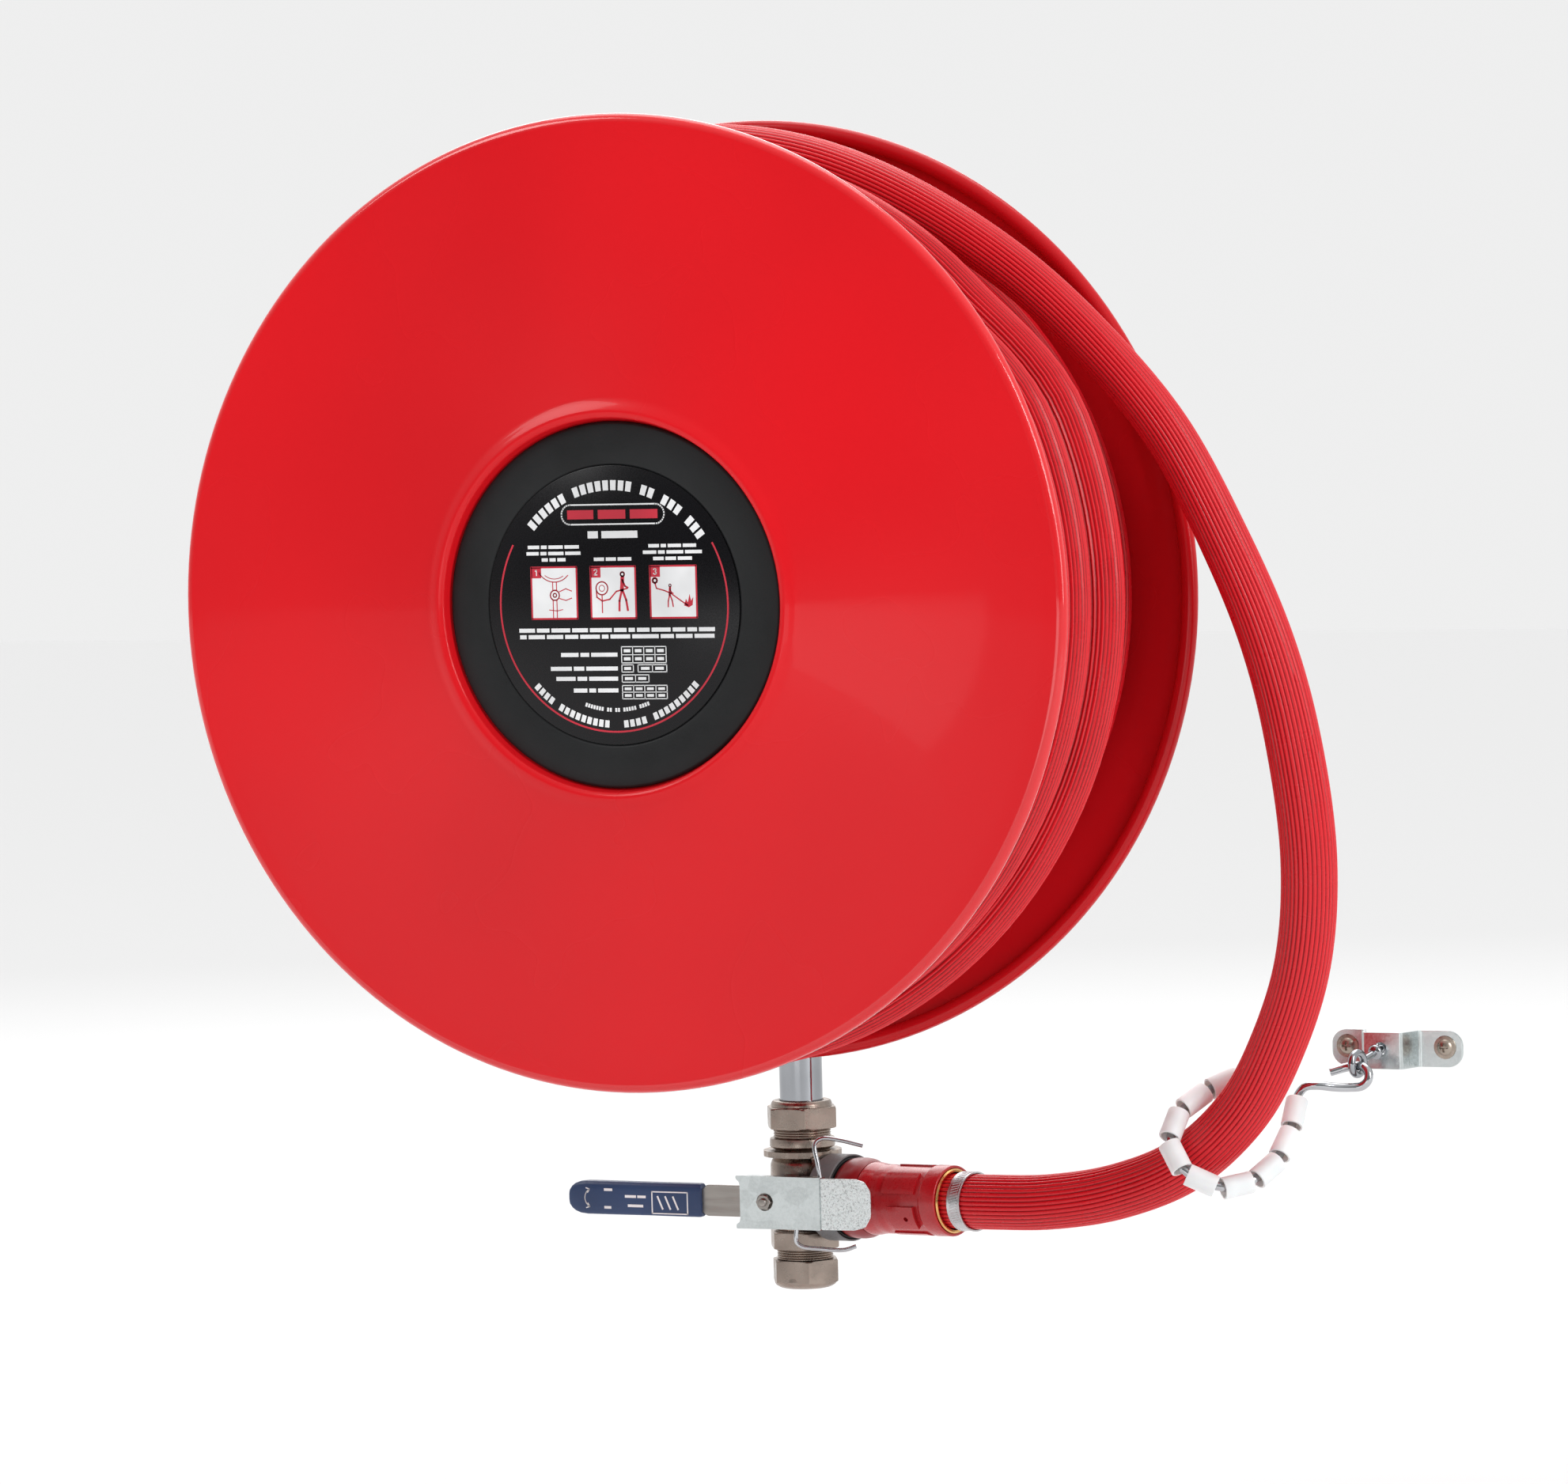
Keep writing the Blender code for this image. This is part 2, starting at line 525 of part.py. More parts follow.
def drum_pieces(red, brass, bronze, steel, rubber, hose, black, label):
    axis = joint_frame("drum_axis", (0, 0, 0))
    front = (0, -1, 0)
    bead_r = DRUM_RADIUS - BEAD_RADIUS
    bead_join = sqrt(BEAD_RADIUS**2 - (BEAD_RADIUS - SHEET) ** 2)
    last = degrees(atan2(BEAD_RADIUS - SHEET, -bead_join)) - 360

    def rim(face):
        """The rolled edge of a disc whose outer face stands at the height face, from outer to inner face."""
        return arc((bead_r, face - BEAD_RADIUS), BEAD_RADIUS, 90, last, 6)

    turned(
        "front_disc",
        [(0.0235, 0.2985), (0.1131, 0.2985), (0.1150, 0.3083), (0.1180, 0.3093), (0.1210, 0.3083),
         (0.1262, FRONT_FACE), *rim(FRONT_FACE), (0.1254, FRONT_FACE - SHEET), (0.1208, 0.3066),
         (0.1180, 0.3076), (0.1162, 0.3070), (0.1147, 0.2970), (0.0235, 0.2970)],
        red, axis=front, steps=48, parent=axis)
    turned(
        "rear_disc",
        [(0.0190, -REAR_FACE), *rim(-REAR_FACE), (0.0190, -REAR_FACE - SHEET)],
        red, axis=(0, 1, 0), steps=48, parent=axis)

    near, far = REAR_FACE + SHEET + GAP, FRONT_FACE - SHEET - GAP
    inner = BARREL_RADIUS - BARREL_SHEET
    barrel = turned(
        "drum_barrel",
        [(BARREL_RADIUS, far), (BARREL_RADIUS, near), (0.150, near), (0.150, near + BARREL_SHEET),
         (inner, near + BARREL_SHEET), (inner, far - BARREL_SHEET), (0.150, far - BARREL_SHEET),
         (0.150, far)],
        red, axis=front, steps=32, parent=axis)
    slot_half = 0.0195
    cut(barrel, box(
        "hose_slot", (0.015, PORT_Y - slot_half, 0.120), (0.105, PORT_Y + slot_half, 0.175), parent=axis))

    pocket = 0.0235
    hub = turned(
        "swivel_hub",
        [(HUB_BORE_RADIUS, near), (HUB_BORE_RADIUS, 0.178), (0.0265, 0.180), (0.0265, 0.200),
         (HUB_BORE_RADIUS, 0.202), (HUB_BORE_RADIUS, 0.2712), (pocket, 0.2722), (pocket, 0.2967),
         (0.050, 0.2967), (0.050, 0.2927), (0.0285, 0.2905), (0.0285, 0.2680), (HUB_RADIUS, 0.2650),
         (HUB_RADIUS, 0.2120), (0.0320, 0.2080), (0.0320, 0.1720), (HUB_RADIUS, 0.1680),
         (HUB_RADIUS, 0.0990), (0.0300, near + 0.004), (0.050, near + 0.004), (0.050, near)],
        brass, axis=front, parent=axis)
    port = (0, PORT_Y, 0)
    aside = (-1, 0, 0)
    weld(hub, pin("hub_outlet", 0.0160, 0.0285, 0.0520, at=port, axis=aside, parent=axis))
    cut(hub, pin("hub_outlet_bore", 0.0110, 0.0235, 0.0600, at=port, axis=aside, parent=axis))
    bush_outer = HUB_BORE_RADIUS - GAP
    bush_inner = SPINDLE_RADIUS + FIT
    ring("hub_bush_rear", bush_inner, bush_outer, 0.0890, 0.1120, bronze, axis=front, parent=axis)
    ring("hub_bush_front", bush_inner, bush_outer, 0.2470, 0.2700, bronze, axis=front, parent=axis)
    seal_centre = (SPINDLE_RADIUS + HUB_BORE_RADIUS) / 2
    for side, depth in (("rear", 0.165), ("front", 0.215)):
        section = arc((seal_centre, depth), 0.0012, 0, -300, 5)
        turned(f"swivel_seal_{side}", section, rubber, axis=front, steps=16, parent=axis)

    tail = (OUTLET_X, PORT_Y, 0)
    elbow = turned(
        "outlet_elbow",
        [(0, 0.0700), (0.0100, 0.0700), (0.0121, 0.0660), (0.0112, 0.0560), (0.0121, 0.0540),
         (0.0112, 0.0440), (0.0121, 0.0420), (0.0112, 0.0262), (0.0160, 0.0260), (0.0185, 0.0120),
         (0.0185, -0.0080), (0.0120, -0.0170), (0, -0.0180)],
        brass, tail, steps=16, parent=axis)
    weld(elbow, pin("outlet_leg", 0.0165, 0.0523, -OUTLET_X - 0.002, at=port, axis=aside, parent=axis))
    cut(elbow, pin("outlet_tail_bore", 0.0085, -0.004, 0.08, at=tail, parent=axis))
    cut(elbow, pin("outlet_leg_bore", 0.0110, 0.0500, -OUTLET_X, at=port, axis=aside, parent=axis))
    straight = 0.0705
    lead = [Vector((OUTLET_X, PORT_Y, z)) for z in (0.0275, 0.0480, straight)]
    for k in range(5):
        turn = radians(24 + 9 * k)
        lift = 0.55 * straight * (1 - turn / radians(90))
        across = OUTLET_BEND + OUTLET_X - OUTLET_BEND * cos(turn)
        lead.append(Vector((across, PORT_Y, OUTLET_BEND * sin(turn) + lift)))
    hollow_hose("hose_lead", lead, HOSE_RADIUS, HOSE_BORE_RADIUS + FIT, hose, axis)
    ring("lead_clip", HOSE_RADIUS + 0.0008, 0.0198, 0.0360, 0.0480, steel, tail, steps=24, parent=axis)

    ring(
        "wound_hose_inner", PACK_BORE_RADIUS, FULL_PACK_RADIUS, near, far, hose, axis=front, steps=48,
        parent=axis)
    turned(
        "wound_hose_outer",
        [(TOP_LAYER_RADIUS, TOP_LAYER_REAR), (TOP_LAYER_RADIUS, TOP_LAYER_FRONT),
         (TOP_LAYER_STEP, TOP_LAYER_FRONT), (TOP_LAYER_STEP, far), (FULL_PACK_RADIUS + GAP, far),
         (FULL_PACK_RADIUS + GAP, TOP_LAYER_REAR)],
        hose, axis=front, steps=48, parent=axis)
    cap_back = CAP_FACE - CAP_DEPTH
    turned(
        "hub_cap",
        [(0, CAP_FACE - 0.0010), (0.0860, CAP_FACE - 0.0010), (0.0866, CAP_FACE),
         (CAP_RADIUS - 0.001, CAP_FACE), (CAP_RADIUS, CAP_FACE - 0.001), (CAP_RADIUS, cap_back),
         (0, cap_back)],
        black, axis=front, steps=36, parent=axis)
    pin("cap_label", 0.0855, CAP_FACE - 0.0007, CAP_FACE, label, axis=front, steps=36, parent=axis)


def guide_pieces(zinc, steel, chrome, white):
    left, right, rise = 0.3485, 0.4357, 0.020
    low, high = -0.3066, -0.2836
    sheet = 0.002
    outline = [
        (left, 0), (0.3720, 0), (0.3770, rise - sheet), (0.4000, rise - sheet), (0.4050, 0), (right, 0),
        (right, sheet), (0.4066, sheet), (0.4016, rise), (0.3754, rise), (0.3704, sheet), (left, sheet)]
    shape = bmesh.new()
    face = shape.faces.new([shape.verts.new((x, -depth, low)) for x, depth in outline])
    pulled = bmesh.ops.extrude_face_region(shape, geom=[face])
    risen = [item for item in pulled["geom"] if isinstance(item, bmesh.types.BMVert)]
    bmesh.ops.translate(shape, verts=risen, vec=(0, 0, high - low))
    bracket = add("guide_bracket", mesh_from(shape, "guide_bracket"), zinc)
    front = (0, -1, 0)
    swivel_at = (SWIVEL_POINT.x, 0, SWIVEL_POINT.z)
    cut(bracket, pin("swivel_hole", 0.0040, 0.010, 0.030, at=swivel_at, axis=front))
    for side, x in (("left", 0.3590), ("right", 0.4240)):
        at = (x, 0, GUIDE_SCREW_Z)
        cut(bracket, pin(f"screw_hole_{side}", 0.0030, -0.01, 0.01, at=at, axis=front))
        turned(
            f"guide_screw_{side}",
            [(0, 0.0048), (0.0030, 0.0046), (0.0052, 0.0036), (0.0052, sheet + GAP), (0.0027, sheet + GAP),
             (0.0027, 0.0002), (0, 0.0002)],
            steel, at, front, 20)

    swing = joint_frame("guide_axis", SWIVEL_POINT)
    reach = EYE_CENTRE - SWIVEL_POINT
    across = reach.cross(Vector((0, 0, 1))).normalized()
    eye_radius, eye_wire = 0.0068, 0.0024
    shank = reach.length - eye_radius
    eye = turned(
        "swivel_eye",
        [(0, shank), (0.0022, shank), (0.0022, 0.0085), (0.0045, 0.0075), (0.0045, 0.0050), (0.0022, 0.0040),
         (0.0022, -0.0040), (0.0060, -0.0050), (0.0060, -0.0075), (0, -0.0085)],
        chrome, SWIVEL_POINT, reach, 12, swing)
    section = arc((eye_radius, 0), eye_wire, 0, -300, 5)
    weld(eye, turned("eye_loop", section, None, EYE_CENTRE, across, 16, swing))

    loop = smooth_route(LOOP_ROUTE, 0.0005)
    wire("guide_ring", smooth_route(HOOK_ROUTE + LOOP_ROUTE, 0.0068), GUIDE_WIRE_RADIUS, chrome, swing)
    half = ROLLER_LENGTH / 2
    for k in range(ROLLERS):
        at = round((FIRST_ROLLER + ROLLER_PITCH * k) / 0.0005)
        reach = round(half * 0.7 / 0.0005)
        ends = loop[at - reach], loop[min(at + reach, len(loop) - 1)]
        centre = (ends[0] + ends[1] + loop[at]) / 3
        turned(
            f"guide_roller_{k + 1:02d}",
            [(ROLLER_RADIUS, half), (ROLLER_RADIUS, -half), (0.0056, -half), (ROLLER_BORE_RADIUS, -0.001),
             (ROLLER_BORE_RADIUS, 0.001), (0.0056, half)],
            white, centre, ends[1] - ends[0], 12, swing)


def build():
    for old in list(bpy.data.objects):
        bpy.data.objects.remove(old, do_unlink=True)
    red = material("red_paint", (0.69, 0.014, 0.019), 0.0, 0.32)
    hose = material("red_hose", (0.51, 0.010, 0.017), 0.0, 0.55)
    steel = material("plain_steel", (0.50, 0.49, 0.47), 1.0, 0.38)
    chrome = material("chrome", (0.80, 0.80, 0.82), 1.0, 0.08)
    nickel = material("nickel", (0.42, 0.35, 0.29), 1.0, 0.30)
    brass = material("brass", (0.72, 0.45, 0.18), 1.0, 0.28)
    bronze = material("bronze", (0.55, 0.33, 0.16), 1.0, 0.45)
    zinc = material("zinc_plate", (0.62, 0.66, 0.66), 1.0, 0.35)
    ptfe = material("seat_plastic", (0.85, 0.85, 0.83), 0.0, 0.50)
    rubber = material("black_rubber", (0.012, 0.012, 0.012), 0.0, 0.70)
    black = material("black_plastic", (0.014, 0.014, 0.016), 0.0, 0.50)
    label = material("label", (0.006, 0.006, 0.009), 0.0, 0.30)
    blue = material("blue_sleeve", (0.018, 0.055, 0.155), 0.0, 0.40)
    nozzle_red = material("red_plastic", (0.38, 0.010, 0.014), 0.0, 0.35)
    head_red = material("dark_red_plastic", (0.20, 0.006, 0.010), 0.0, 0.35)
    grey = material("grey_plastic", (0.20, 0.20, 0.20), 0.0, 0.50)
    white = material("white_plastic", (0.88, 0.88, 0.87), 0.0, 0.40)
    wall_pieces(red, brass, steel, chrome)
    valve_pieces(nickel, brass, ptfe)
    lever_pieces(brass, steel, zinc, blue, chrome)
    nozzle_pieces(nozzle_red, head_red, rubber, brass, steel, grey)
    cradle_pieces(zinc, chrome)
    drum_pieces(red, brass, bronze, steel, rubber, hose, black, label)
    guide_pieces(zinc, steel, chrome, white)
    wire("free_hose", smooth_route(HOSE_ROUTE, 2 * HOSE_RADIUS), HOSE_RADIUS, hose, sides=3)


build()
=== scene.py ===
"""The looks of a wall-mounted fire hose reel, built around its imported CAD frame.

Metres, in the CAD's own frame: the wall is the plane y = 0, and the drum turns about the Y axis
through the origin. mm() turns points written in millimetres into metres.
"""

import json
from math import atan2, copysign, cos, hypot, pi, radians, sin, sqrt

import bmesh
import bpy
from mathutils import Matrix, Vector

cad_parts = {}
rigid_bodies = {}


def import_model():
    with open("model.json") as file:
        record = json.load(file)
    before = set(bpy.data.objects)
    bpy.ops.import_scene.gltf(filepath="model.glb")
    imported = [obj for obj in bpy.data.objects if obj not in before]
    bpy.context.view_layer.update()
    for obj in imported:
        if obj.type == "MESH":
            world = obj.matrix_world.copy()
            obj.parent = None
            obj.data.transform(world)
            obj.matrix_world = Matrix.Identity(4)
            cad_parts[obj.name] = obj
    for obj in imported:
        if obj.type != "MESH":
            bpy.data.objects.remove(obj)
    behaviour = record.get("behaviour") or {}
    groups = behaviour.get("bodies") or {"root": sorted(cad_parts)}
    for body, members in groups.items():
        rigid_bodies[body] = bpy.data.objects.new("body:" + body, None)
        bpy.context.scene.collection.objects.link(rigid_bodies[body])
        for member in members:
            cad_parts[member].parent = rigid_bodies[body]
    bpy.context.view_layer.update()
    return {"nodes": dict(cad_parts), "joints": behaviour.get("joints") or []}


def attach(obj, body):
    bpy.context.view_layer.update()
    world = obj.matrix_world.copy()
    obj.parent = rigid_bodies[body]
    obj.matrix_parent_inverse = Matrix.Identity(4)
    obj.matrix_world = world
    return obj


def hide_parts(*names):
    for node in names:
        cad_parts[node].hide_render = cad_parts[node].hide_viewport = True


for old in list(bpy.data.objects):
    bpy.data.objects.remove(old, do_unlink=True)
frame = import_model()

FRONT = Vector((0, -1, 0))
UP = Vector((0, 0, 1))
ORIGIN = Vector((0, 0, 0))
# A profile that starts on its axis keeps this much radius, so that its end faces can be closed
ON_AXIS = 0.00001

CAMERA_PLACE = Vector((1.8926, -4.0932, 0.14))
CAMERA_RIGHT = Vector((0.9055, 0.4236, -0.0261))
CAMERA_AHEAD = Vector((-0.4244, 0.9039, -0.0534))
CAMERA_LENS = 159.065
FLOOR_Z = -0.62
FLOOR_HALF = 14.0

# Dimensions that the CAD works to
HOSE_RADIUS = 0.0175
FRONT_FACE = 0.3053
REAR_FACE = 0.0859
DRUM_RADIUS = 0.3
BEAD_RADIUS = 0.0053
SHEET = 0.0015
CAP_RADIUS = 0.1125
CAP_FACE = 0.3023
CAP_DEPTH = 0.0035
LABEL_RADIUS = 0.0855
PIPE = Vector((0, -0.05, 0))
VALVE_Z = -0.3902
STEM = Vector((0, 0, VALVE_Z))
PLATE_FACE = 0.1081
NOZZLE_START = Vector((0.047, -0.065, -0.3915))
NOZZLE_END = Vector((0.1214, -0.0832, -0.3893))
NOZZLE_AXIS = (NOZZLE_END - NOZZLE_START).normalized()
NOZZLE_LENGTH = (NOZZLE_END - NOZZLE_START).length
GUIDE_WIRE_RADIUS = 0.0028
CRADLE_WIRE_RADIUS = 0.0014
ROLLER_HALF = 0.0096
SWIVEL_POINT = Vector((0.3874, -0.019, -0.2938))
EYE_CENTRE = Vector((0.3812, -0.044, -0.3008))


def mm(*points):
    return [tuple(value / 1000 for value in point) for point in points]


# The free hose, from the top of the drum, down through the guide ring and back to the nozzle
HOSE_ROUTE = mm(
    (-49, -172, 277), (15, -171, 280.6), (77, -168, 270.5), (138, -163, 245.5), (202.7, -151, 202.1),
    (251, -141, 156), (297.6, -132, 97.9), (333.2, -126.5, 28.1), (357.1, -123.5, -31.3),
    (371.1, -120.5, -88.6), (379.2, -116.5, -166.6), (372.1, -111.5, -230.5), (353.7, -107, -280.2),
    (328, -103.8, -323.5), (287.8, -101.5, -359), (242.5, -100, -377.5), (194.3, -96.5, -386.2),
    (150, -90.2, -388.4), (127, -84.6, -389.1), (102.6, -78.6, -389.9))
HOOK_ROUTE = mm(
    (364, -48, -306), (372.5, -44, -303.5), (381.1, -44.3, -302.1), (386.2, -45.7, -302.8),
    (389.6, -47.5, -306.5), (389.3, -48.7, -311), (385.2, -49, -314.4), (379, -51, -315),
    (370.4, -56, -314.5), (360.3, -62, -313), (353, -63, -314))
LOOP_ROUTE = mm(
    (347.9, -62.9, -319.8), (348.3, -68.5, -327.2), (347.8, -83.7, -345.8), (340.6, -102.8, -363),
    (322.3, -122.3, -370.6), (300.3, -131, -361.3), (288.1, -127.2, -345.3), (288.1, -113.1, -327.6),
    (299.9, -94, -314.6), (313.1, -78.7, -307.5), (326, -69, -307.2), (333, -66.2, -310.5))
UPPER_WIRE_ROUTE = mm(
    (34, -96, -379), (31.5, -95.5, -366), (29.2, -94, -354), (33, -92, -350.5), (43, -86, -352),
    (56, -79, -356))
LOWER_WIRE_ROUTE = mm(
    (15.8, -96, -408.5), (15.8, -96.5, -417), (19, -96, -419.8), (32, -93, -421.5), (46, -89, -422.2),
    (53, -86, -420))


# ---------------------------------------------------------------- camera, light and floor

def camera():
    data = bpy.data.cameras.new("camera")
    data.lens = CAMERA_LENS
    data.sensor_width = 36.0
    data.clip_end = 100
    eye = bpy.data.objects.new("camera", data)
    right = CAMERA_RIGHT.normalized()
    ahead = (CAMERA_AHEAD - right * CAMERA_AHEAD.dot(right)).normalized()
    turn = Matrix((right, right.cross(ahead), -ahead)).transposed().to_quaternion()
    eye.matrix_world = Matrix.LocRotScale(CAMERA_PLACE, turn, None)
    bpy.context.scene.collection.objects.link(eye)
    bpy.context.scene.camera = eye


def hang(data, place, heading):
    made = bpy.data.objects.new(data.name, data)
    made.location = place
    made.rotation_mode = "QUATERNION"
    made.rotation_quaternion = heading.to_track_quat("-Z", "Y")
    bpy.context.scene.collection.objects.link(made)


def lamp(name, place, aim, size, power, height=None):
    data = bpy.data.lights.new(name, "AREA")
    data.shape = "RECTANGLE"
    data.size = size
    data.size_y = height or size
    data.energy = power
    hang(data, place, Vector(aim) - Vector(place))


def feed(tree, node, inputs):
    """Sets a node's inputs: each to its value, or to the socket that drives it."""
    for name, value in inputs.items():
        if isinstance(value, bpy.types.NodeSocket):
            tree.links.new(value, node.inputs[name])
        else:
            node.inputs[name].default_value = value
    return node


def new_node(tree, kind, inputs):
    return feed(tree, tree.nodes.new("ShaderNode" + kind), inputs)


def studio():
    lamp("key_light", (-2.4, -2.4, 2.6), (0, -0.2, 0.05), 1.6, 42)
    lamp("side_light", (3.2, -1.0, 1.0), (0.1, -0.2, 0), 0.8, 27, 2.4)
    lamp("low_light", (0.4, -3.4, -0.35), (0, -0.2, -0.3), 1.6, 4, 0.5)
    lamp("back_light", (-1.5, 3.0, 1.8), (0, -0.2, 0), 2.0, 26)
    lamp("rim_light", (3.0, -1.5, 1.5), (0.2, -0.25, 0.0), 0.12, 18, 1.7)
    ceiling = bpy.data.lights.new("ceiling_light", "SUN")
    ceiling.energy = 1.15
    ceiling.angle = radians(50)
    hang(ceiling, ORIGIN, Vector((0.15, -0.35, -1.0)))
    world = bpy.data.worlds.new("studio")
    world.use_nodes = True
    tree = world.node_tree
    # The room is pale behind and above the reel and darker in front of it
    where = tree.nodes.new("ShaderNodeTexCoord").outputs["Generated"]
    heading = new_node(tree, "VectorMath", {0: where, 1: (0.0, 0.8, 0.6)})
    heading.operation = "DOT_PRODUCT"
    limits = {"From Min": -0.85, "From Max": 0.55, "To Min": 0.16, "To Max": 0.86}
    shade = new_node(tree, "MapRange", {"Value": heading.outputs["Value"], **limits})
    shade.interpolation_type = "SMOOTHSTEP"
    strength = shade.outputs["Result"]
    feed(tree, tree.nodes["Background"], {"Color": (1.0, 1.0, 1.0, 1), "Strength": strength})
    bpy.context.scene.world = world
    bpy.context.scene.view_settings.view_transform = "Standard"


def floor():
    half = FLOOR_HALF
    corners = [(-half, -half, 0), (half, -half, 0), (half, half, 0), (-half, half, 0)]
    mesh = bpy.data.meshes.new("floor")
    mesh.from_pydata(corners, [], [(0, 1, 2, 3)])
    made = bpy.data.objects.new("floor", mesh)
    made.location = (0, 0, FLOOR_Z)
    bpy.context.scene.collection.objects.link(made)
    look = bpy.data.materials.new("floor")
    look.use_nodes = True
    shader = look.node_tree.nodes["Principled BSDF"]
    feed(look.node_tree, shader, {"Base Color": (0.76, 0.76, 0.76, 1), "Roughness": 0.9})
    mesh.materials.append(look)


# ---------------------------------------------------------------- shapes

def smooth_step(share):
    """Rises from 0 to 1 without a corner at either end."""
    share = min(1.0, max(0.0, share))
    return share * share * (3 - 2 * share)


def arc(centre, radius, start, end, steps):
    """Points on a circle, from one angle in degrees to another."""
    turns = [radians(start + (end - start) * k / steps) for k in range(steps + 1)]
    return [(centre[0] + radius * cos(t), centre[1] + radius * sin(t)) for t in turns]


def eased(points, reach, steps=4, closed=False):
    """The chain of (x, y) points with each corner rounded off, starting `reach` before it."""
    chain = [Vector(p) for p in points]
    out = []
    count = len(chain)
    for k, corner in enumerate(chain):
        if not closed and k in (0, count - 1):
            out.append(tuple(corner))
            continue
        before, after = chain[k - 1] - corner, chain[(k + 1) % count] - corner
        size = min(reach, 0.45 * before.length, 0.45 * after.length)
        a, b = corner + before.normalized() * size, corner + after.normalized() * size
        for s in range(steps + 1):
            t = s / steps
            out.append(tuple(a * (1 - t) ** 2 + corner * 2 * t * (1 - t) + b * t * t))
    return out


def smooth_route(points, spacing):
    """Points at an even spacing on the centripetal Catmull-Rom curve through the route's own points."""
    route = [Vector(p) for p in points]
    route = [2 * route[0] - route[1]] + route + [2 * route[-1] - route[-2]]
    fine = []
    for a, b, c, d in zip(route, route[1:], route[2:], route[3:]):
        t1 = (b - a).length ** 0.5
        t2 = t1 + (c - b).length ** 0.5
        t3 = t2 + (d - c).length ** 0.5
        for k in range(20):
            t = t1 + (t2 - t1) * k / 20
            ab = a + (b - a) * (t / t1)
            bc = b + (c - b) * ((t - t1) / (t2 - t1))
            cd = c + (d - c) * ((t - t2) / (t3 - t2))
            abc = ab + (bc - ab) * (t / t2)
            bcd = bc + (cd - bc) * ((t - t1) / (t3 - t1))
            fine.append(abc + (bcd - abc) * ((t - t1) / (t2 - t1)))
    fine.append(route[-2])
    return evenly(fine, spacing)


def evenly(fine, spacing):
    """The same line with its points at an even spacing."""
    lengths = [0.0]
    for a, b in zip(fine, fine[1:]):
        lengths.append(lengths[-1] + (b - a).length)
    count = max(2, round(lengths[-1] / spacing))
    even = []
    at = 0
    for k in range(count + 1):
        goal = lengths[-1] * k / count
        while at < len(fine) - 2 and lengths[at + 1] < goal:
            at += 1
        share = (goal - lengths[at]) / (lengths[at + 1] - lengths[at])
        even.append(fine[at] + (fine[at + 1] - fine[at]) * share)
    return even


class Shape:
    """Points and faces gathered from simple forms, to become one piece."""

    def __init__(self):
        self.points = []
        self.faces = []

    def rows(self, rows, loop=False):
        """Skins rings of points, each as long as the next. A loop joins the last ring to the first."""
        start, wide = len(self.points), len(rows[0])
        for row in rows:
            self.points.extend(tuple(p) for p in row)
        pairs = len(rows) if loop else len(rows) - 1
        for r in range(pairs):
            a, b = start + r * wide, start + ((r + 1) % len(rows)) * wide
            for k in range(wide):
                n = (k + 1) % wide
                self.faces.append((a + k, a + n, b + n, b + k))
        if not loop:
            self.faces.append(tuple(range(start + wide - 1, start - 1, -1)))
            last = start + (len(rows) - 1) * wide
            self.faces.append(tuple(range(last, last + wide)))
        return self

    def lathe(self, profile, at=ORIGIN, axis=UP, steps=64):
        """Turns (radius, height) points about the axis. A profile that starts on the axis is a solid
        one and any other is a ring, whose profile is closed."""
        ring_shaped = profile[0][0] > 0
        turn = UP.rotation_difference(Vector(axis).normalized())
        rings = []
        for radius, height in profile:
            radius = max(radius, ON_AXIS)
            ring = []
            for k in range(steps):
                angle = 2 * pi * k / steps
                ring.append(at + turn @ Vector((radius * cos(angle), radius * sin(angle), height)))
            rings.append(ring)
        return self.rows(rings, loop=ring_shaped)

    def prism(self, outline, low, high, place=Matrix.Identity(4)):
        """Pulls an outline of (x, y) points along its own +Z."""
        rows = [[place @ Vector((x, y, z)) for x, y in outline] for z in (low, high)]
        return self.rows(rows)

    def upright(self, outline, back, front):
        """Pulls an outline of (x, z) points from depth back to depth front."""
        rows = [[Vector((x, -depth, z)) for x, z in outline] for depth in (front, back)]
        return self.rows(rows)

    def block(self, x0, x1, z0, z1, back, front):
        return self.upright([(x0, z0), (x1, z0), (x1, z1), (x0, z1)], back, front)

    def tube(self, line, section, across=None):
        """Sweeps a section along the line; section(share) gives its (side, up) points at that share."""
        rows = []
        side = across
        for k, point in enumerate(line):
            ahead = (line[min(k + 1, len(line) - 1)] - line[max(k - 1, 0)]).normalized()
            if side is None:
                side = ahead.orthogonal()
            side = (side - ahead * side.dot(ahead)).normalized()
            up = ahead.cross(side)
            rows.append([point + side * x + up * y for x, y in section(k / (len(line) - 1))])
        return self.rows(rows)


def circle(radius, sides=16):
    ring = [(radius * cos(2 * pi * k / sides), radius * sin(2 * pi * k / sides)) for k in range(sides)]
    return lambda share: ring


def hexagon_nut(across_flats, low, high, chamfer, at, axis, sides=60):
    """A hexagon prism whose corners are turned off at both ends."""
    turn = UP.rotation_difference(axis)
    flat, corner = across_flats / 2, across_flats / sqrt(3)
    slope = chamfer * 0.55
    rows = []
    turned = corner - chamfer
    for z, limit in ((low, turned), (low + slope, corner), (high - slope, corner), (high, turned)):
        ring = []
        for k in range(sides):
            angle = 2 * pi * k / sides
            to_flat = (angle + pi / 6) % (pi / 3) - pi / 6
            radius = min(flat / cos((pi / 6) - abs(to_flat)), limit)
            ring.append(at + turn @ Vector((radius * cos(angle), radius * sin(angle), z)))
        rows.append(ring)
    return Shape().rows(rows)


def drill(radius, low, high, at, axis, steps):
    """The round cutter for a bore between two heights along the axis."""
    return Shape().lathe([(0, low), (radius, low), (radius, high), (0, high)], at, axis, steps)


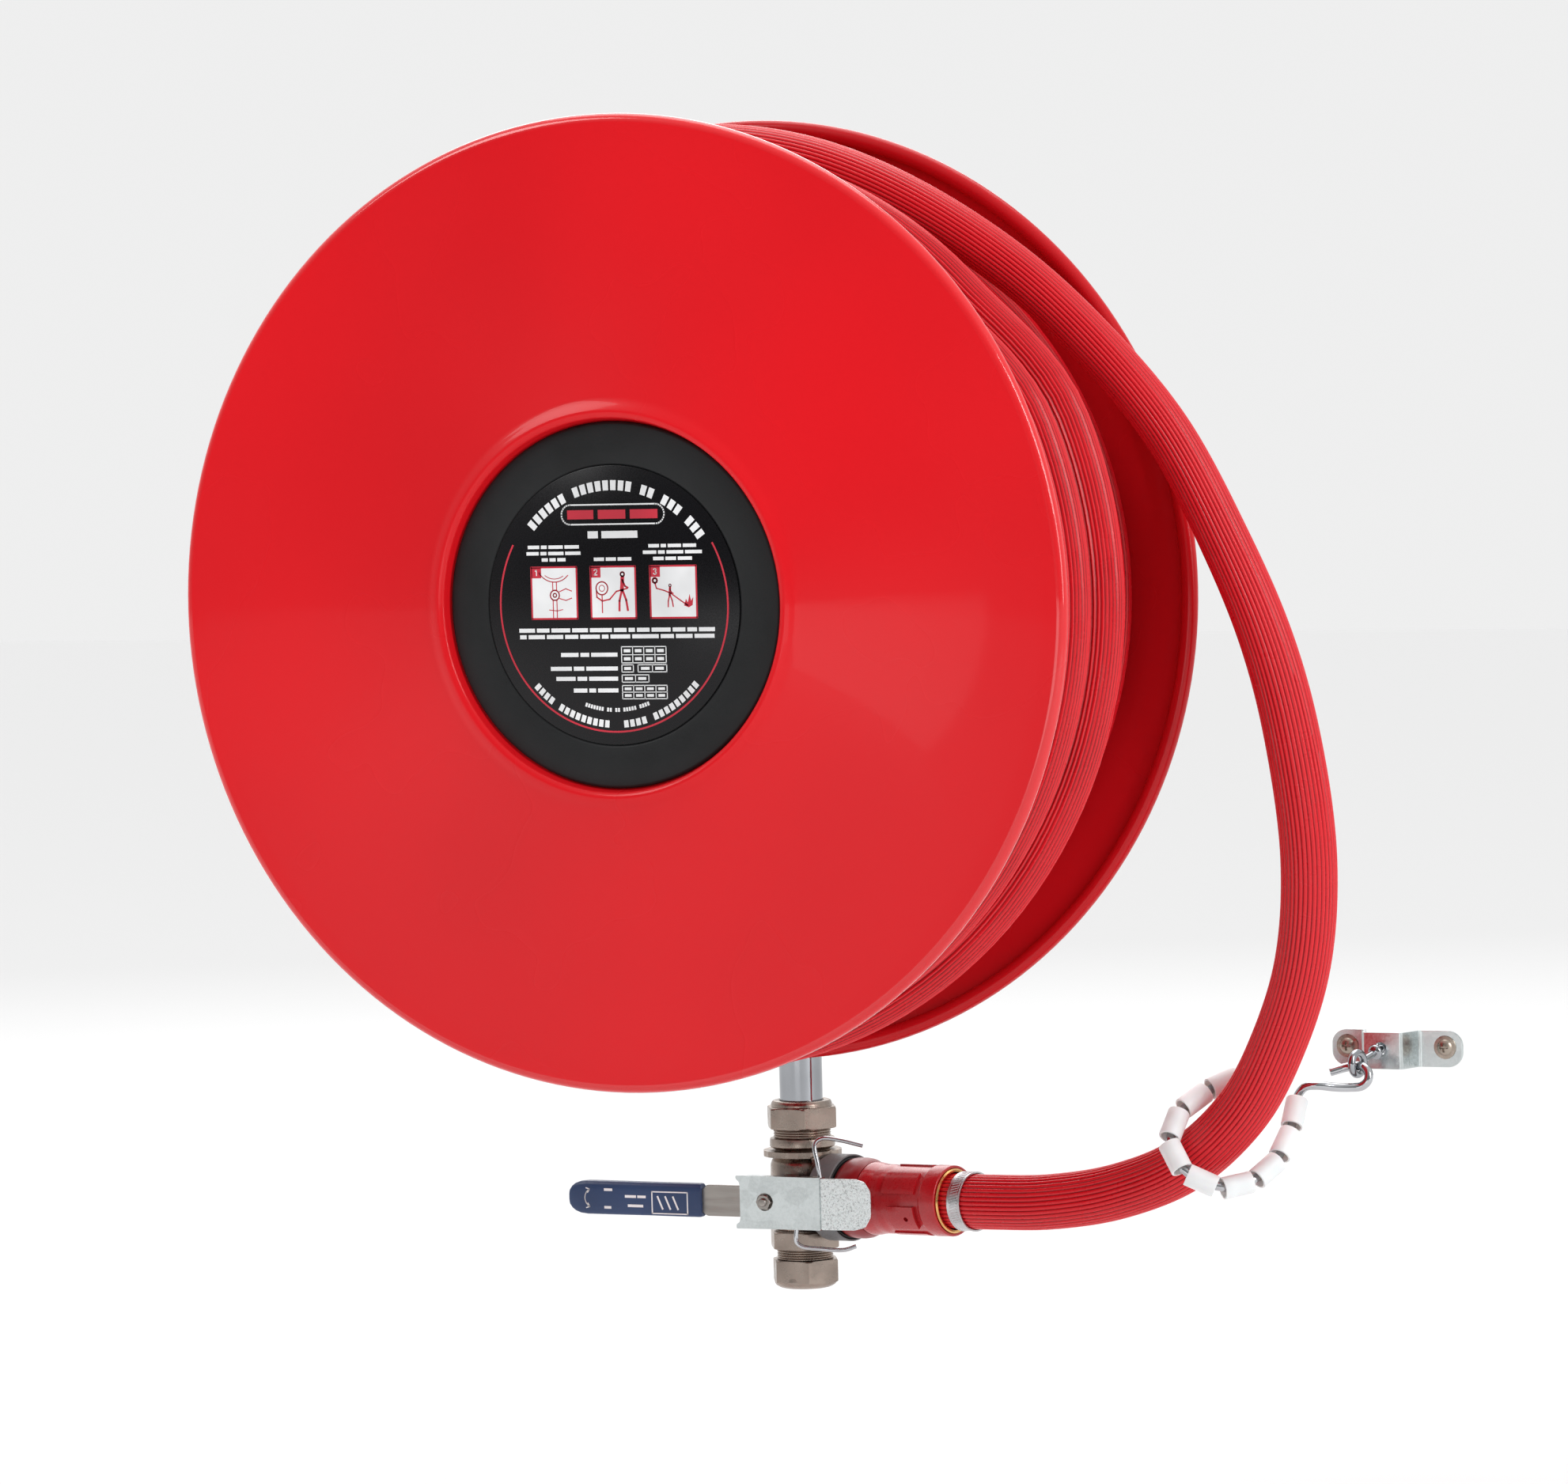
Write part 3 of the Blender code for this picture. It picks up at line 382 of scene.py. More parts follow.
def solid(name, shape):
    """The gathered shape as an object, with all its faces turned outwards."""
    mesh = bpy.data.meshes.new(name)
    mesh.from_pydata(shape.points, [], shape.faces)
    form = bmesh.new()
    form.from_mesh(mesh)
    bmesh.ops.recalc_face_normals(form, faces=form.faces)
    form.to_mesh(mesh)
    form.free()
    made = bpy.data.objects.new(name, mesh)
    bpy.context.scene.collection.objects.link(made)
    return made


def ease_edges(made, width, segments=2):
    edges = made.modifiers.new("edges", "BEVEL")
    edges.width = width
    edges.segments = segments
    edges.limit_method = "ANGLE"
    edges.angle_limit = radians(40)


def flatten_shading(made):
    """Lets the large faces keep their own normal, so that only the eased edges turn the light."""
    normals = made.modifiers.new("normals", "WEIGHTED_NORMAL")
    normals.weight = 100
    normals.keep_sharp = True


def piece(name, shape, look, body, nodes=(), bevel=0.0, sharp=38, cutters=(), segments=2):
    """Makes the shape one piece that rides on a body, its cutters taken away and its edges eased."""
    made = solid(name, shape)
    tools = [solid(f"{name}_cutter_{k}", cutter) for k, cutter in enumerate(cutters)]
    for tool in tools:
        change = made.modifiers.new("cut", "BOOLEAN")
        change.operation = "DIFFERENCE"
        change.solver = "EXACT"
        change.use_self = True
        change.object = tool
    if bevel:
        ease_edges(made, bevel, segments)
    if cutters or bevel:
        graph = bpy.context.evaluated_depsgraph_get()
        settled = bpy.data.meshes.new_from_object(made.evaluated_get(graph))
        made.modifiers.clear()
        made.data = settled
        for tool in tools:
            bpy.data.objects.remove(tool)
    made.data.shade_smooth()
    made.data.set_sharp_from_angle(angle=radians(sharp))
    if cutters or bevel:
        flatten_shading(made)
    made.data.materials.clear()
    made.data.materials.append(look)
    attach(made, body)
    if nodes:
        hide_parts(*nodes)
    return made


# ---------------------------------------------------------------- materials

class Look:
    """A Principled material and the few nodes that give it grain."""

    def __init__(self, name, colour, metallic=0.0, roughness=0.5, **sockets):
        self.material = bpy.data.materials.new(name)
        self.material.use_nodes = True
        self.tree = self.material.node_tree
        self.shader = self.tree.nodes["Principled BSDF"]
        self.colour = colour
        self.feed({"Base Color": (*colour, 1.0), "Metallic": metallic, "Roughness": roughness})
        self.feed({key.replace("_", " "): value for key, value in sockets.items()})
        self.where = self.tree.nodes.new("ShaderNodeTexCoord").outputs["Object"]
        self.height = None

    def feed(self, inputs):
        feed(self.tree, self.shader, inputs)

    def noise(self, scale, detail=3.0, rough=0.55, stretch=None):
        where = self.where
        if stretch:
            mapping = new_node(self.tree, "Mapping", {"Vector": where, "Scale": stretch})
            where = mapping.outputs["Vector"]
        inputs = {"Vector": where, "Scale": scale, "Detail": detail, "Roughness": rough}
        return new_node(self.tree, "TexNoise", inputs).outputs["Fac"]

    def cells(self, scale):
        inputs = {"Vector": self.where, "Scale": scale}
        return new_node(self.tree, "TexVoronoi", inputs).outputs["Color"]

    def ramp(self, value, low, high, first, last):
        """Goes from the first colour to the last as the value goes from low to high."""
        node = new_node(self.tree, "ValToRGB", {"Fac": value})
        node.color_ramp.interpolation = "EASE"
        for stop, place, shade in zip(node.color_ramp.elements, (low, high), (first, last)):
            stop.position = place
            stop.color = (*shade, 1.0)
        return node.outputs["Color"]

    def tint(self, value, low, high, amount_low, amount_high):
        """Varies the base colour between two brightnesses as the value goes from low to high."""
        dark = [c * amount_low for c in self.colour]
        light = [min(1.0, c * amount_high) for c in self.colour]
        self.feed({"Base Color": self.ramp(value, low, high, dark, light)})

    def gloss(self, value, low, high, smooth, rough):
        self.feed({"Roughness": self.ramp(value, low, high, [smooth] * 3, [rough] * 3)})

    def bump(self, value, distance, strength=1.0):
        """Adds a relief on top of those that the look has already."""
        inputs = {"Distance": distance, "Strength": strength, "Height": value}
        if self.height is not None:
            inputs["Normal"] = self.height
        self.height = new_node(self.tree, "Bump", inputs).outputs["Normal"]
        self.feed({"Normal": self.height})

    def add(self, a, b, weight):
        """The value a, plus b times the weight."""
        node = self.tree.nodes.new("ShaderNodeMath")
        node.operation = "MULTIPLY_ADD"
        return feed(self.tree, node, {0: b, 1: weight, 2: a}).outputs["Value"]


def paint(name, colour, coat=0.18):
    """Gloss stoving enamel on pressed sheet: faint orange peel and a slow change of shade and gloss."""
    look = Look(name, colour, 0.0, 0.26, Specular_IOR_Level=0.16, Coat_Weight=coat, Coat_Roughness=0.05)
    look.tint(look.noise(3.0, 2.0), 0.3, 0.7, 0.92, 1.05)
    look.gloss(look.noise(9.0, 2.0, 0.5), 0.25, 0.85, 0.25, 0.3)
    look.bump(look.noise(620.0, 2.0), 0.00004, 0.35)
    return look.material


def rubber_hose(name):
    """Extruded red rubber with faint patches and specks, its colour darkened between the ribs as painted
    shade.
    """
    look = Look(name, (0.6, 0.009, 0.017), 0.0, 0.27, Specular_IOR_Level=0.36)
    patches = look.noise(26.0, 5.0, 0.6)
    specks = look.noise(420.0, 2.0, 0.5)
    rise = look.tree.nodes.new("ShaderNodeAttribute")
    rise.attribute_name = "rib_height"
    # Painted shade: the lower a point sits in its rib, the darker its colour, added to the rubber's own
    # patches and specks
    painted_groove_shade_and_patches = look.add(look.add(rise.outputs["Fac"], patches, 0.45), specks, 0.12)
    look.tint(painted_groove_shade_and_patches, 0.05, 1.45, 0.26, 1.16)
    look.gloss(look.noise(60.0, 3.0, 0.6), 0.3, 0.7, 0.22, 0.36)
    look.bump(specks, 0.00003, 0.15)
    return look.material


def cast_plate(name, colour):
    """Nickel over a sand-blasted casting."""
    look = Look(name, colour, 1.0, 0.3)
    look.tint(look.noise(70.0, 4.0), 0.3, 0.7, 0.76, 1.14)
    look.gloss(look.noise(140.0, 4.0, 0.6), 0.3, 0.7, 0.2, 0.42)
    look.bump(look.noise(900.0, 3.0), 0.00009, 0.6)
    look.bump(look.noise(160.0, 2.0), 0.0002, 0.3)
    return look.material


def bright(name, colour, roughness, grain=(1, 1, 1)):
    """Plated or polished metal with fine scratches drawn along one way."""
    look = Look(name, colour, 1.0, roughness)
    scratches = look.noise(300.0, 4.0, 0.7, grain)
    look.tint(look.noise(40.0, 3.0), 0.3, 0.7, 0.93, 1.04)
    look.gloss(scratches, 0.35, 0.75, roughness * 0.8, roughness * 1.5 + 0.02)
    look.bump(scratches, 0.00003, 0.4)
    return look.material


def zinc(name, crystals, grain, spangle, tint_high, dark, light, dull, depth):
    """Galvanised sheet: crystals of slightly different brightness and gloss."""
    look = Look(name, (0.58, 0.62, 0.62), 1.0, 0.28)
    cells = look.cells(crystals)
    fine = look.noise(grain, 3.0, 0.7)
    value = look.add(fine, cells, spangle)
    look.tint(value, 0.35, tint_high, dark, light)
    look.gloss(fine, 0.3, 0.7, 0.2, dull)
    look.bump(value, depth, 0.6)
    return look.material


def moulded(name, colour, roughness, grain=0.00005, scale=700.0, specks=0.0, **sockets):
    """Moulded plastic or rubber with a fine grain, a slow change of shade and, if asked, light specks."""
    look = Look(name, colour, 0.0, roughness, **sockets)
    fine = look.noise(scale, 3.0, 0.6)
    slow = look.noise(18.0, 3.0)
    shade = look.add(slow, fine, specks) if specks else slow
    look.tint(shade, 0.3, 0.75 + specks * 0.6, 0.85, 1.12 + 2.0 * specks)
    look.gloss(fine, 0.3, 0.7, roughness * 0.82, min(1.0, roughness * 1.2))
    look.bump(fine, grain, 0.6)
    return look.material


ENAMEL = (0.76, 0.008, 0.014)
RED_PAINT = paint("red_enamel", ENAMEL)
RIM_RED = paint("red_enamel_rim", ENAMEL, 1.0)
# The same red enamel painted darker, as painted shade, for the parts that sit back behind the front disc:
# the rear disc, the drum barrel and the wall plate
SHADED_RED_ENAMEL = paint("red_enamel_painted_shade", (0.56, 0.006, 0.011))
HOSE_RUBBER = rubber_hose("red_ribbed_rubber")
CHROME = bright("polished_chrome", (0.34, 0.35, 0.37), 0.05, (1, 1, 0.1))
WIRE_CHROME = bright("bright_wire", (0.5, 0.51, 0.53), 0.13)
NICKEL = cast_plate("cast_nickel", (0.345, 0.285, 0.245))
BRASS = bright("machined_brass", (0.8, 0.46, 0.17), 0.22)
BRONZE = bright("sintered_bronze", (0.52, 0.32, 0.17), 0.42)
STEEL = bright("drawn_steel", (0.36, 0.335, 0.31), 0.34, (0.05, 1, 1))
BAND_STEEL = bright("clip_band", (0.55, 0.55, 0.56), 0.28)
SCREW_STEEL = bright("bronzed_screw", (0.4, 0.345, 0.29), 0.3)
ZINC = zinc("zinc_sheet", 90.0, 500.0, 0.25, 0.85, 0.84, 1.12, 0.27, 0.00001)
ZINC_TONGUE = zinc("zinc_spangle", 1100.0, 1500.0, 0.9, 1.15, 0.52, 1.4, 0.52, 0.00016)
BLUE = moulded("blue_vinyl", (0.02, 0.048, 0.135), 0.38, 0.00005, 500.0)
BLACK_CAP = moulded(
    "black_moulding", (0.0062, 0.0066, 0.007), 0.5, 0.0001, 1300.0, 0.6, Specular_IOR_Level=0.25)
LABEL_BLACK = moulded("black_film", (0.003, 0.0028, 0.004), 0.26, 0.00001, 900.0, Specular_IOR_Level=0.25)
INK_WHITE = moulded("white_ink", (0.86, 0.87, 0.88), 0.42, 0.00001, 900.0)
INK_RED = moulded("red_ink", (0.58, 0.02, 0.045), 0.42, 0.00001, 900.0)
RUBBER = moulded("black_rubber", (0.01, 0.01, 0.011), 0.62, 0.00006, 900.0)
NOZZLE_RED = moulded("red_nylon", (0.47, 0.008, 0.014), 0.3, 0.00004, 500.0, Coat_Weight=0.25)
HEAD_RED = moulded("dark_red_nylon", (0.27, 0.006, 0.01), 0.34, 0.00004, 500.0)
GREY = moulded("grey_nylon", (0.16, 0.16, 0.165), 0.48, 0.00006, 700.0)
WHITE = moulded("white_nylon", (0.95, 0.95, 0.945), 0.4, 0.00003, 600.0, Subsurface_Weight=0.1)
SEAT = moulded("white_seat", (0.8, 0.8, 0.78), 0.45)


# ---------------------------------------------------------------- the hose

# Half sizes of the hose where it lies flattened on the drum, and how deep its ribs are
WIDE, THIN = 0.018, 0.01515
RIBS = 36
RIB_DEPTH = 0.0008
# How high the points of one rib stand, from its root round to the next one's, by their number
RIB_FORMS = {2: (0.0, 1.0), 4: (0.0, 0.75, 1.0, 0.75)}
COARSE, FINE = 2 * RIBS, 4 * RIBS

# The winding: six turns side by side, three full layers, then the last one
WINDING_START = radians(110)
TURN_PLACES = [-0.1056 - 0.03612 * k for k in range(6)]
LAYERS = (0.1843, 0.2146, 0.2449)
LAST_LAYER = 0.2752
SINK = 0.0145


def ribbed(wide, tall, sides):
    """One section of the hose: an oval with fine ribs."""
    lift = RIB_FORMS[sides // RIBS]
    ring = []
    for k in range(sides):
        angle = 2 * pi * k / sides
        sunk = 1 - RIB_DEPTH * (1 - lift[k % len(lift)]) / HOSE_RADIUS
        ring.append((wide * sunk * cos(angle), tall * sunk * sin(angle)))
    return ring


def mark_ribs(hose, sides):
    """Stores how high each point stands in its rib, which the rubber's painted shade in the grooves
    follows.
    """
    lift = RIB_FORMS[sides // RIBS]
    heights = hose.data.attributes.new("rib_height", "FLOAT", "POINT")
    count = len(hose.data.vertices)
    heights.data.foreach_set("value", [lift[k % sides % len(lift)] for k in range(count)])


def wound_route():
    """The hose on the drum: three full layers, then a part layer that leads to the free end."""
    route = []

    def settled(angle):
        """How far the last layer has sunk: it lies tight over the top and bulges at the side."""
        away = (angle - radians(85) + pi) % (2 * pi) - pi
        reach, ease = (63, 22) if away < 0 else (88, 45)
        return SINK * smooth_step((radians(reach) - abs(away)) / radians(ease))

    def turn_at(radius, y_from, y_to, radius_to, loose=False):
        """One full turn clockwise; its last seventh steps over to the next turn's place."""
        steps = max(40, round(2 * pi * radius / 0.0125))
        for k in range(steps):
            share = k / steps
            jog = smooth_step((share - 0.86) / 0.14)
            r = radius + (radius_to - radius) * jog
            y = y_from + (y_to - y_from) * jog
            a = WINDING_START - 2 * pi * share
            r -= settled(a) if loose else 0.0
            route.append(Vector((r * cos(a), y, r * sin(a))))

    for number, radius in enumerate(LAYERS):
        order = TURN_PLACES if number % 2 == 0 else TURN_PLACES[::-1]
        outward = (*LAYERS, LAST_LAYER)[number + 1]
        for k, y in enumerate(order):
            last = k == len(order) - 1
            turn_at(radius, y, y if last else order[k + 1], outward if last else radius)
    turn_at(LAST_LAYER, -0.278, -0.2425, 0.274, loose=True)
    turn_at(0.274, -0.2425, -0.207, 0.2818, loose=True)
    # The last stretch crosses over to where the free hose begins
    steps = 130
    total = radians(370)
    for k in range(steps + 1):
        share = k / steps
        lift = smooth_step((share - 0.72) / 0.28)
        a = WINDING_START - total * share
        r = 0.2818 - 0.0005 * lift
        r -= settled(a) if share < 0.5 else 0.0
        route.append(Vector((r * cos(a), -0.207 + 0.035 * lift, r * sin(a))))
    return route


def hoses():
    """The free hose, flattened at first and round further down, and the hose on the drum."""
    line = smooth_route(HOSE_ROUTE, 0.006)
    free = Shape()
    flat_until = 0.52

    def free_section(share):
        ease = smooth_step((share - flat_until + 0.14) / 0.22)
        wide = WIDE + (HOSE_RADIUS - WIDE) * ease
        tall = THIN + (HOSE_RADIUS - THIN) * ease
        return ribbed(wide, tall, FINE)

    free.tube(line, free_section, across=Vector((0, 1, 0)))
    hose = piece("hose_free_run", free, HOSE_RUBBER, "frame", ["free_hose"], sharp=75)
    mark_ribs(hose, FINE)

    coil = wound_route()
    wound = Shape()
    section = ribbed(WIDE, THIN, COARSE)
    rows = []
    for k, point in enumerate(coil):
        ahead = (coil[min(k + 1, len(coil) - 1)] - coil[max(k - 1, 0)]).normalized()
        side = Vector((0, 1, 0))
        side = (side - ahead * side.dot(ahead)).normalized()
        up = ahead.cross(side)
        rows.append([point + side * x + up * y for x, y in section])
    # Its end reaches a little way into the free run, so that no gap shows between them
    rows.append([coil[-1] + ahead * 0.009 + (side * x + up * y) * 0.95 for x, y in section])
    wound.rows(rows)
    drum_hose = piece(
        "hose_on_drum", wound, HOSE_RUBBER, "drum", ["wound_hose_inner", "wound_hose_outer"], sharp=36)
    mark_ribs(drum_hose, COARSE)
    return hose, line, drum_hose, coil


# ---------------------------------------------------------------- the drum

def bead(face):
    """A disc's rolled edge, from its outer face to its inner face, as (radius, height) points."""
    centre = (DRUM_RADIUS - BEAD_RADIUS, face - BEAD_RADIUS)
    reach = sqrt(BEAD_RADIUS**2 - (BEAD_RADIUS - SHEET) ** 2)
    last = atan2(BEAD_RADIUS - SHEET, -reach) * 180 / pi - 360
    return arc(centre, BEAD_RADIUS, 90, last, 20)


def discs():
    bowl = [
        (0.0235, 0.2985), (0.1131, 0.2985), (0.1146, 0.3078), (0.118, 0.3095), (0.1216, 0.3082),
        (0.1275, FRONT_FACE)]
    inside = [
        (0.1266, FRONT_FACE - SHEET), (0.1208, 0.3066), (0.118, 0.3078), (0.116, 0.3066),
        (0.1146, 0.297), (0.0235, 0.297)]
    # The sheet falls away slightly before its rolled edge
    fall = [(0.284, FRONT_FACE), (0.2868, FRONT_FACE - 0.0004)]
    profile = eased(bowl, 0.0022) + fall + bead(FRONT_FACE) + eased(inside, 0.0012)
    front = piece(
        "drum_front_disc", Shape().lathe(profile, axis=FRONT, steps=192), RED_PAINT, "drum",
        ["front_disc"])
    # The enamel runs thicker and glossier round the rolled edge
    front.data.materials.append(RIM_RED)
    for face in front.data.polygons:
        if hypot(face.center.x, face.center.z) > DRUM_RADIUS - 0.9 * BEAD_RADIUS:
            face.material_index = 1
    back = [(0.019, -REAR_FACE), (0.124, -REAR_FACE), (0.1262, -REAR_FACE - 0.0006), (0.1284, -REAR_FACE)]
    back_inside = [(0.127, -REAR_FACE - SHEET), (0.019, -REAR_FACE - SHEET)]
    profile = back + bead(-REAR_FACE) + back_inside
    # The rear disc wears the red enamel darkened with painted shade
    piece(
        "drum_rear_disc", Shape().lathe(profile, axis=-FRONT, steps=192), SHADED_RED_ENAMEL, "drum", ["rear_disc"])


def cap():
    groove = LABEL_RADIUS + 0.0006
    profile = [
        (0, CAP_FACE - 0.0012), (groove - 0.0003, CAP_FACE - 0.0012), (groove, CAP_FACE - 0.001),
        (groove + 0.0006, CAP_FACE - 0.0002), (groove + 0.0014, CAP_FACE + 0.0002),
        (CAP_RADIUS - 0.0022, CAP_FACE), (CAP_RADIUS - 0.0008, CAP_FACE - 0.0006),
        (CAP_RADIUS, CAP_FACE - 0.002), (CAP_RADIUS, CAP_FACE - CAP_DEPTH), (0, CAP_FACE - CAP_DEPTH)]
    piece(
        "hub_cap_moulding", Shape().lathe(profile, axis=FRONT, steps=160), BLACK_CAP, "drum",
        ["hub_cap"], sharp=50)
    film = [(0, CAP_FACE), (LABEL_RADIUS - 0.0003, CAP_FACE), (LABEL_RADIUS, CAP_FACE - 0.0002),
            (LABEL_RADIUS, CAP_FACE - 0.0008), (0, CAP_FACE - 0.0008)]
    piece(
        "label_film", Shape().lathe(film, axis=FRONT, steps=160), LABEL_BLACK, "drum",
        ["cap_label"])


class Print:
    """Ink on the label: thin raised forms in millimetres across the film, x to the right and z up."""

    def __init__(self, level):
        self.shape = Shape()
        self.back = CAP_FACE - 0.0001
        self.front = CAP_FACE + 0.00005 + level

    def outline(self, points):
        self.shape.upright([(x / 1000, z / 1000) for x, z in points], self.back, self.front)

    def bar(self, x0, z0, x1, z1):
        self.outline([(x0, z0), (x1, z0), (x1, z1), (x0, z1)])

    def stroke(self, points, width, closed=False):
        """A line of even width through the points."""
        width = width + 0.12
        count = len(points)
        ends = range(count if closed else count - 1)
        for k in ends:
            a, b = Vector(points[k]), Vector(points[(k + 1) % count])
            along = (b - a).normalized()
            beside = Vector((-along.y, along.x)) * width / 2
            reach = along * width * 0.3
            self.outline([a - reach - beside, b + reach - beside, b + reach + beside, a - reach + beside])

    def band(self, radius, width, start, end, steps):
        inner = arc((0, 0), radius - width / 2, start, end, steps)
        outer = arc((0, 0), radius + width / 2, start, end, steps)
        for k in range(steps):
            self.outline([inner[k], inner[k + 1], outer[k + 1], outer[k]])

    def words(self, x0, x1, z, height, lengths):
        """A row of plain dashes where a line of writing would be."""
        gap = height * 0.55
        whole = sum(lengths)
        room = (x1 - x0) - gap * (len(lengths) - 1)
        at = x0
        for part in lengths:
            wide = room * part / whole
            self.bar(at, z - height / 2, at + wide, z + height / 2)
            at += wide + gap

    def curved_words(self, radius, height, start, end, lengths):
        """The same round an arc, with a dash for each letter."""
        step = (end - start) / (sum(lengths) + len(lengths) - 1)
        at = start
        for part in lengths:
            for _ in range(part):
                self.band(radius, height, at, at + 0.72 * step, 2)
                at += step
            at += step

    def frame(self, x0, z0, x1, z1, width):
        self.stroke([(x0, z0), (x1, z0), (x1, z1), (x0, z1)], width, closed=True)


def rounded_box(x0, z0, x1, z1, radius, steps=6):
    corners = (
        (x1 - radius, z1 - radius, 0), (x0 + radius, z1 - radius, 90), (x0 + radius, z0 + radius, 180),
        (x1 - radius, z0 + radius, 270))
    return [p for x, z, turn in corners for p in arc((x, z), radius, turn, turn + 90, steps)]


PANELS = ((-55.9, -24.8), (-15.1, 15.3), (25.4, 56.6))
PANEL_LOW, PANEL_HIGH = -8.0, 23.6
# The numbers 1 to 3, as lines round their own middle
DIGITS = (
    [(-0.6, 1.0), (0.2, 1.7), (0.2, -1.7)],
    [(-1.0, 1.0), (-0.4, 1.7), (0.6, 1.7), (1.0, 1.0), (0.8, 0.2), (-1.0, -1.7), (1.1, -1.7)],
    [(-1.0, 1.2), (-0.3, 1.7), (0.6, 1.6), (0.9, 0.9), (0.1, 0.1), (1.0, -0.7), (0.6, -1.6),
     (-0.4, -1.7), (-1.0, -1.1)],
)


def label_print():
    """Plain dashes and line drawings: open the valve, run out the hose, aim at the fire."""
    white, red, panel, numbers = Print(0.0), Print(0.00003), Print(0.0), Print(0.00006)
    white.curved_words(73.4, 6.2, 139, 33, (6, 8, 2, 3, 3))
    white.stroke(rounded_box(-34.0, 49.6, 36.0, 61.6, 5.9), 0.8, closed=True)
    red.words(-30.0, 31.6, 55.6, 5.6, (4, 4.2, 4.2))
    white.words(-16.4, 17.6, 43.2, 4.4, (2, 7))
    # Three lines of caption over the outer panels and one over the middle panel: half a line's length
    # each, from the lowest up
    captions = ((-40.2, (8.2, 18.6, 17.6)), (0.2, (12.8,)), (41.0, (13.2, 20.0, 16.2)))
    for centre, halves in captions:
        for half, z in zip(halves, (28.2, 32.1, 36.0)):
            parts = (4, 2, 5, 5) if half > 15 else (3, 3, 4)
            white.words(centre - half, centre + half, z, 2.1, parts)
    for (x0, x1), digit in zip(PANELS, DIGITS):
        panel.bar(x0, PANEL_LOW, x1, PANEL_HIGH)
        red.frame(x0, PANEL_LOW, x1, PANEL_HIGH, 1.0)
        red.bar(x0, PANEL_HIGH - 6.6, x0 + 6.8, PANEL_HIGH)
        numbers.stroke([(x0 + 3.4 + x, PANEL_HIGH - 3.3 + z) for x, z in digit], 0.5)
    valve_drawing(red, -40.0)
    hose_drawing(red, 0.0)
    fire_drawing(red, 41.0)
    white.words(-65.2, 68.4, -15.2, 2.5, (5, 4, 6, 5, 7, 4, 2, 4, 6, 4, 3, 5))
    white.words(-64.8, 68.0, -19.2, 2.5, (2, 5, 5, 4, 6, 2, 6, 8, 4, 5, 6))
    rows = ((-36.9, -30.3), (-44.2, -38.8), (-40.6, -45.0), (-28.8, -52.2))
    for left, z in rows:
        white.words(left, 1.8, z, 2.5, (4, 2, 6))
    tables = (
        (4.6, 34.9, -25.5, -35.4, 4, 2), (4.6, 12.4, -36.6, -41.0, 1, 1),
        (15.6, 35.1, -36.6, -41.0, 2, 1), (4.6, 22.8, -42.8, -47.2, 2, 1),
        (4.6, 35.0, -49.2, -57.4, 4, 2))
    for x0, x1, top, low, across, down in tables:
        white.frame(x0, low, x1, top, 0.45)
        for k in range(1, across):
            x = x0 + (x1 - x0) * k / across
            white.stroke([(x, low), (x, top)], 0.4)
        for k in range(1, down):
            z = low + (top - low) * k / down
            white.stroke([(x0, z), (x1, z)], 0.4)
        cell, tall = (x1 - x0) / across, (top - low) / down
        for i in range(across):
            for j in range(down):
                x, z = x0 + cell * (i + 0.5), low + tall * (j + 0.5)
                white.bar(x - cell * 0.3, z - tall * 0.2, x + cell * 0.3, z + tall * 0.2)
    white.curved_words(64.2, 2.4, 251, 291, (7, 2, 2, 5, 4))
    white.curved_words(73.0, 4.4, 222, 267, (4, 9))
    white.curved_words(73.0, 4.4, 274, 320, (4, 9))
    red.band(77.6, 1.15, 151, 389, 110)
    piece("label_white_ink", white.shape, INK_WHITE, "drum")
    piece("label_step_numbers", numbers.shape, INK_WHITE, "drum")
    piece("label_panels", panel.shape, INK_WHITE, "drum")
    piece("label_red_ink", red.shape, INK_RED, "drum")


def valve_drawing(ink, x):
    ink.stroke(arc((x, 27.0), 12.5, 212, 318, 14), 0.5)
    ink.stroke(arc((x, 27.0), 10.6, 232, 304, 10), 0.35)
    for side in (-1.3, 1.3):
        ink.stroke([(x + side, 14.2), (x + side, 9.6)], 0.5)
        ink.stroke([(x + side, 3.2), (x + side, -7.4)], 0.5)
    ink.stroke(arc((x, 6.4), 3.1, 0, 360, 18), 0.7)
    ink.stroke(arc((x, 6.4), 1.2, 0, 360, 10), 0.6)
    ink.stroke([(x + 3.2, 8.6), (x + 7.6, 10.4), (x + 11.6, 8.9)], 0.5)
    ink.stroke([(x + 3.2, 4.4), (x + 7.6, 3.2), (x + 11.6, 4.6)], 0.5)
    ink.stroke([(x - 4.0, -2.6), (x + 1.5, -3.2), (x + 5.2, -2.4)], 0.4)


def hose_drawing(ink, x):
    ink.stroke(arc((x - 7.6, 10.4), 4.0, 0, 360, 20), 0.7)
    ink.stroke(arc((x - 7.6, 10.4), 1.9, 0, 360, 12), 0.35)
    ink.stroke([(x - 7.6, 6.2), (x - 7.6, -4.6)], 0.6)
    hose = ((-11.4, 9.2), (-11.2, 5.0), (-7.6, 2.6), (-2.4, 3.6), (2.2, 8.4), (9.6, 10.2))
    ink.stroke([(x + across, z) for across, z in hose], 0.8)
    stick_person(ink, x + 6.6, 20.2, 1.0)


def fire_drawing(ink, x):
    ink.stroke(arc((x - 12.4, 14.8), 1.5, 0, 360, 10), 1.1)
    jet = ((-12.4, 13.2), (-11.4, 10.0), (-6.0, 8.6), (-1.6, 6.8), (5.2, 2.2), (9.6, -0.6))
    ink.stroke([(x + across, z) for across, z in jet], 0.7)
    stick_person(ink, x - 2.2, 12.4, 0.58)
    flames = (
        (7.0, -0.6), (8.4, 3.4), (9.6, 1.2), (10.9, 6.4), (11.8, 2.2), (13.4, 4.6), (12.8, -0.4),
        (10.2, -1.8))
    ink.outline([(x + across, z) for across, z in flames])


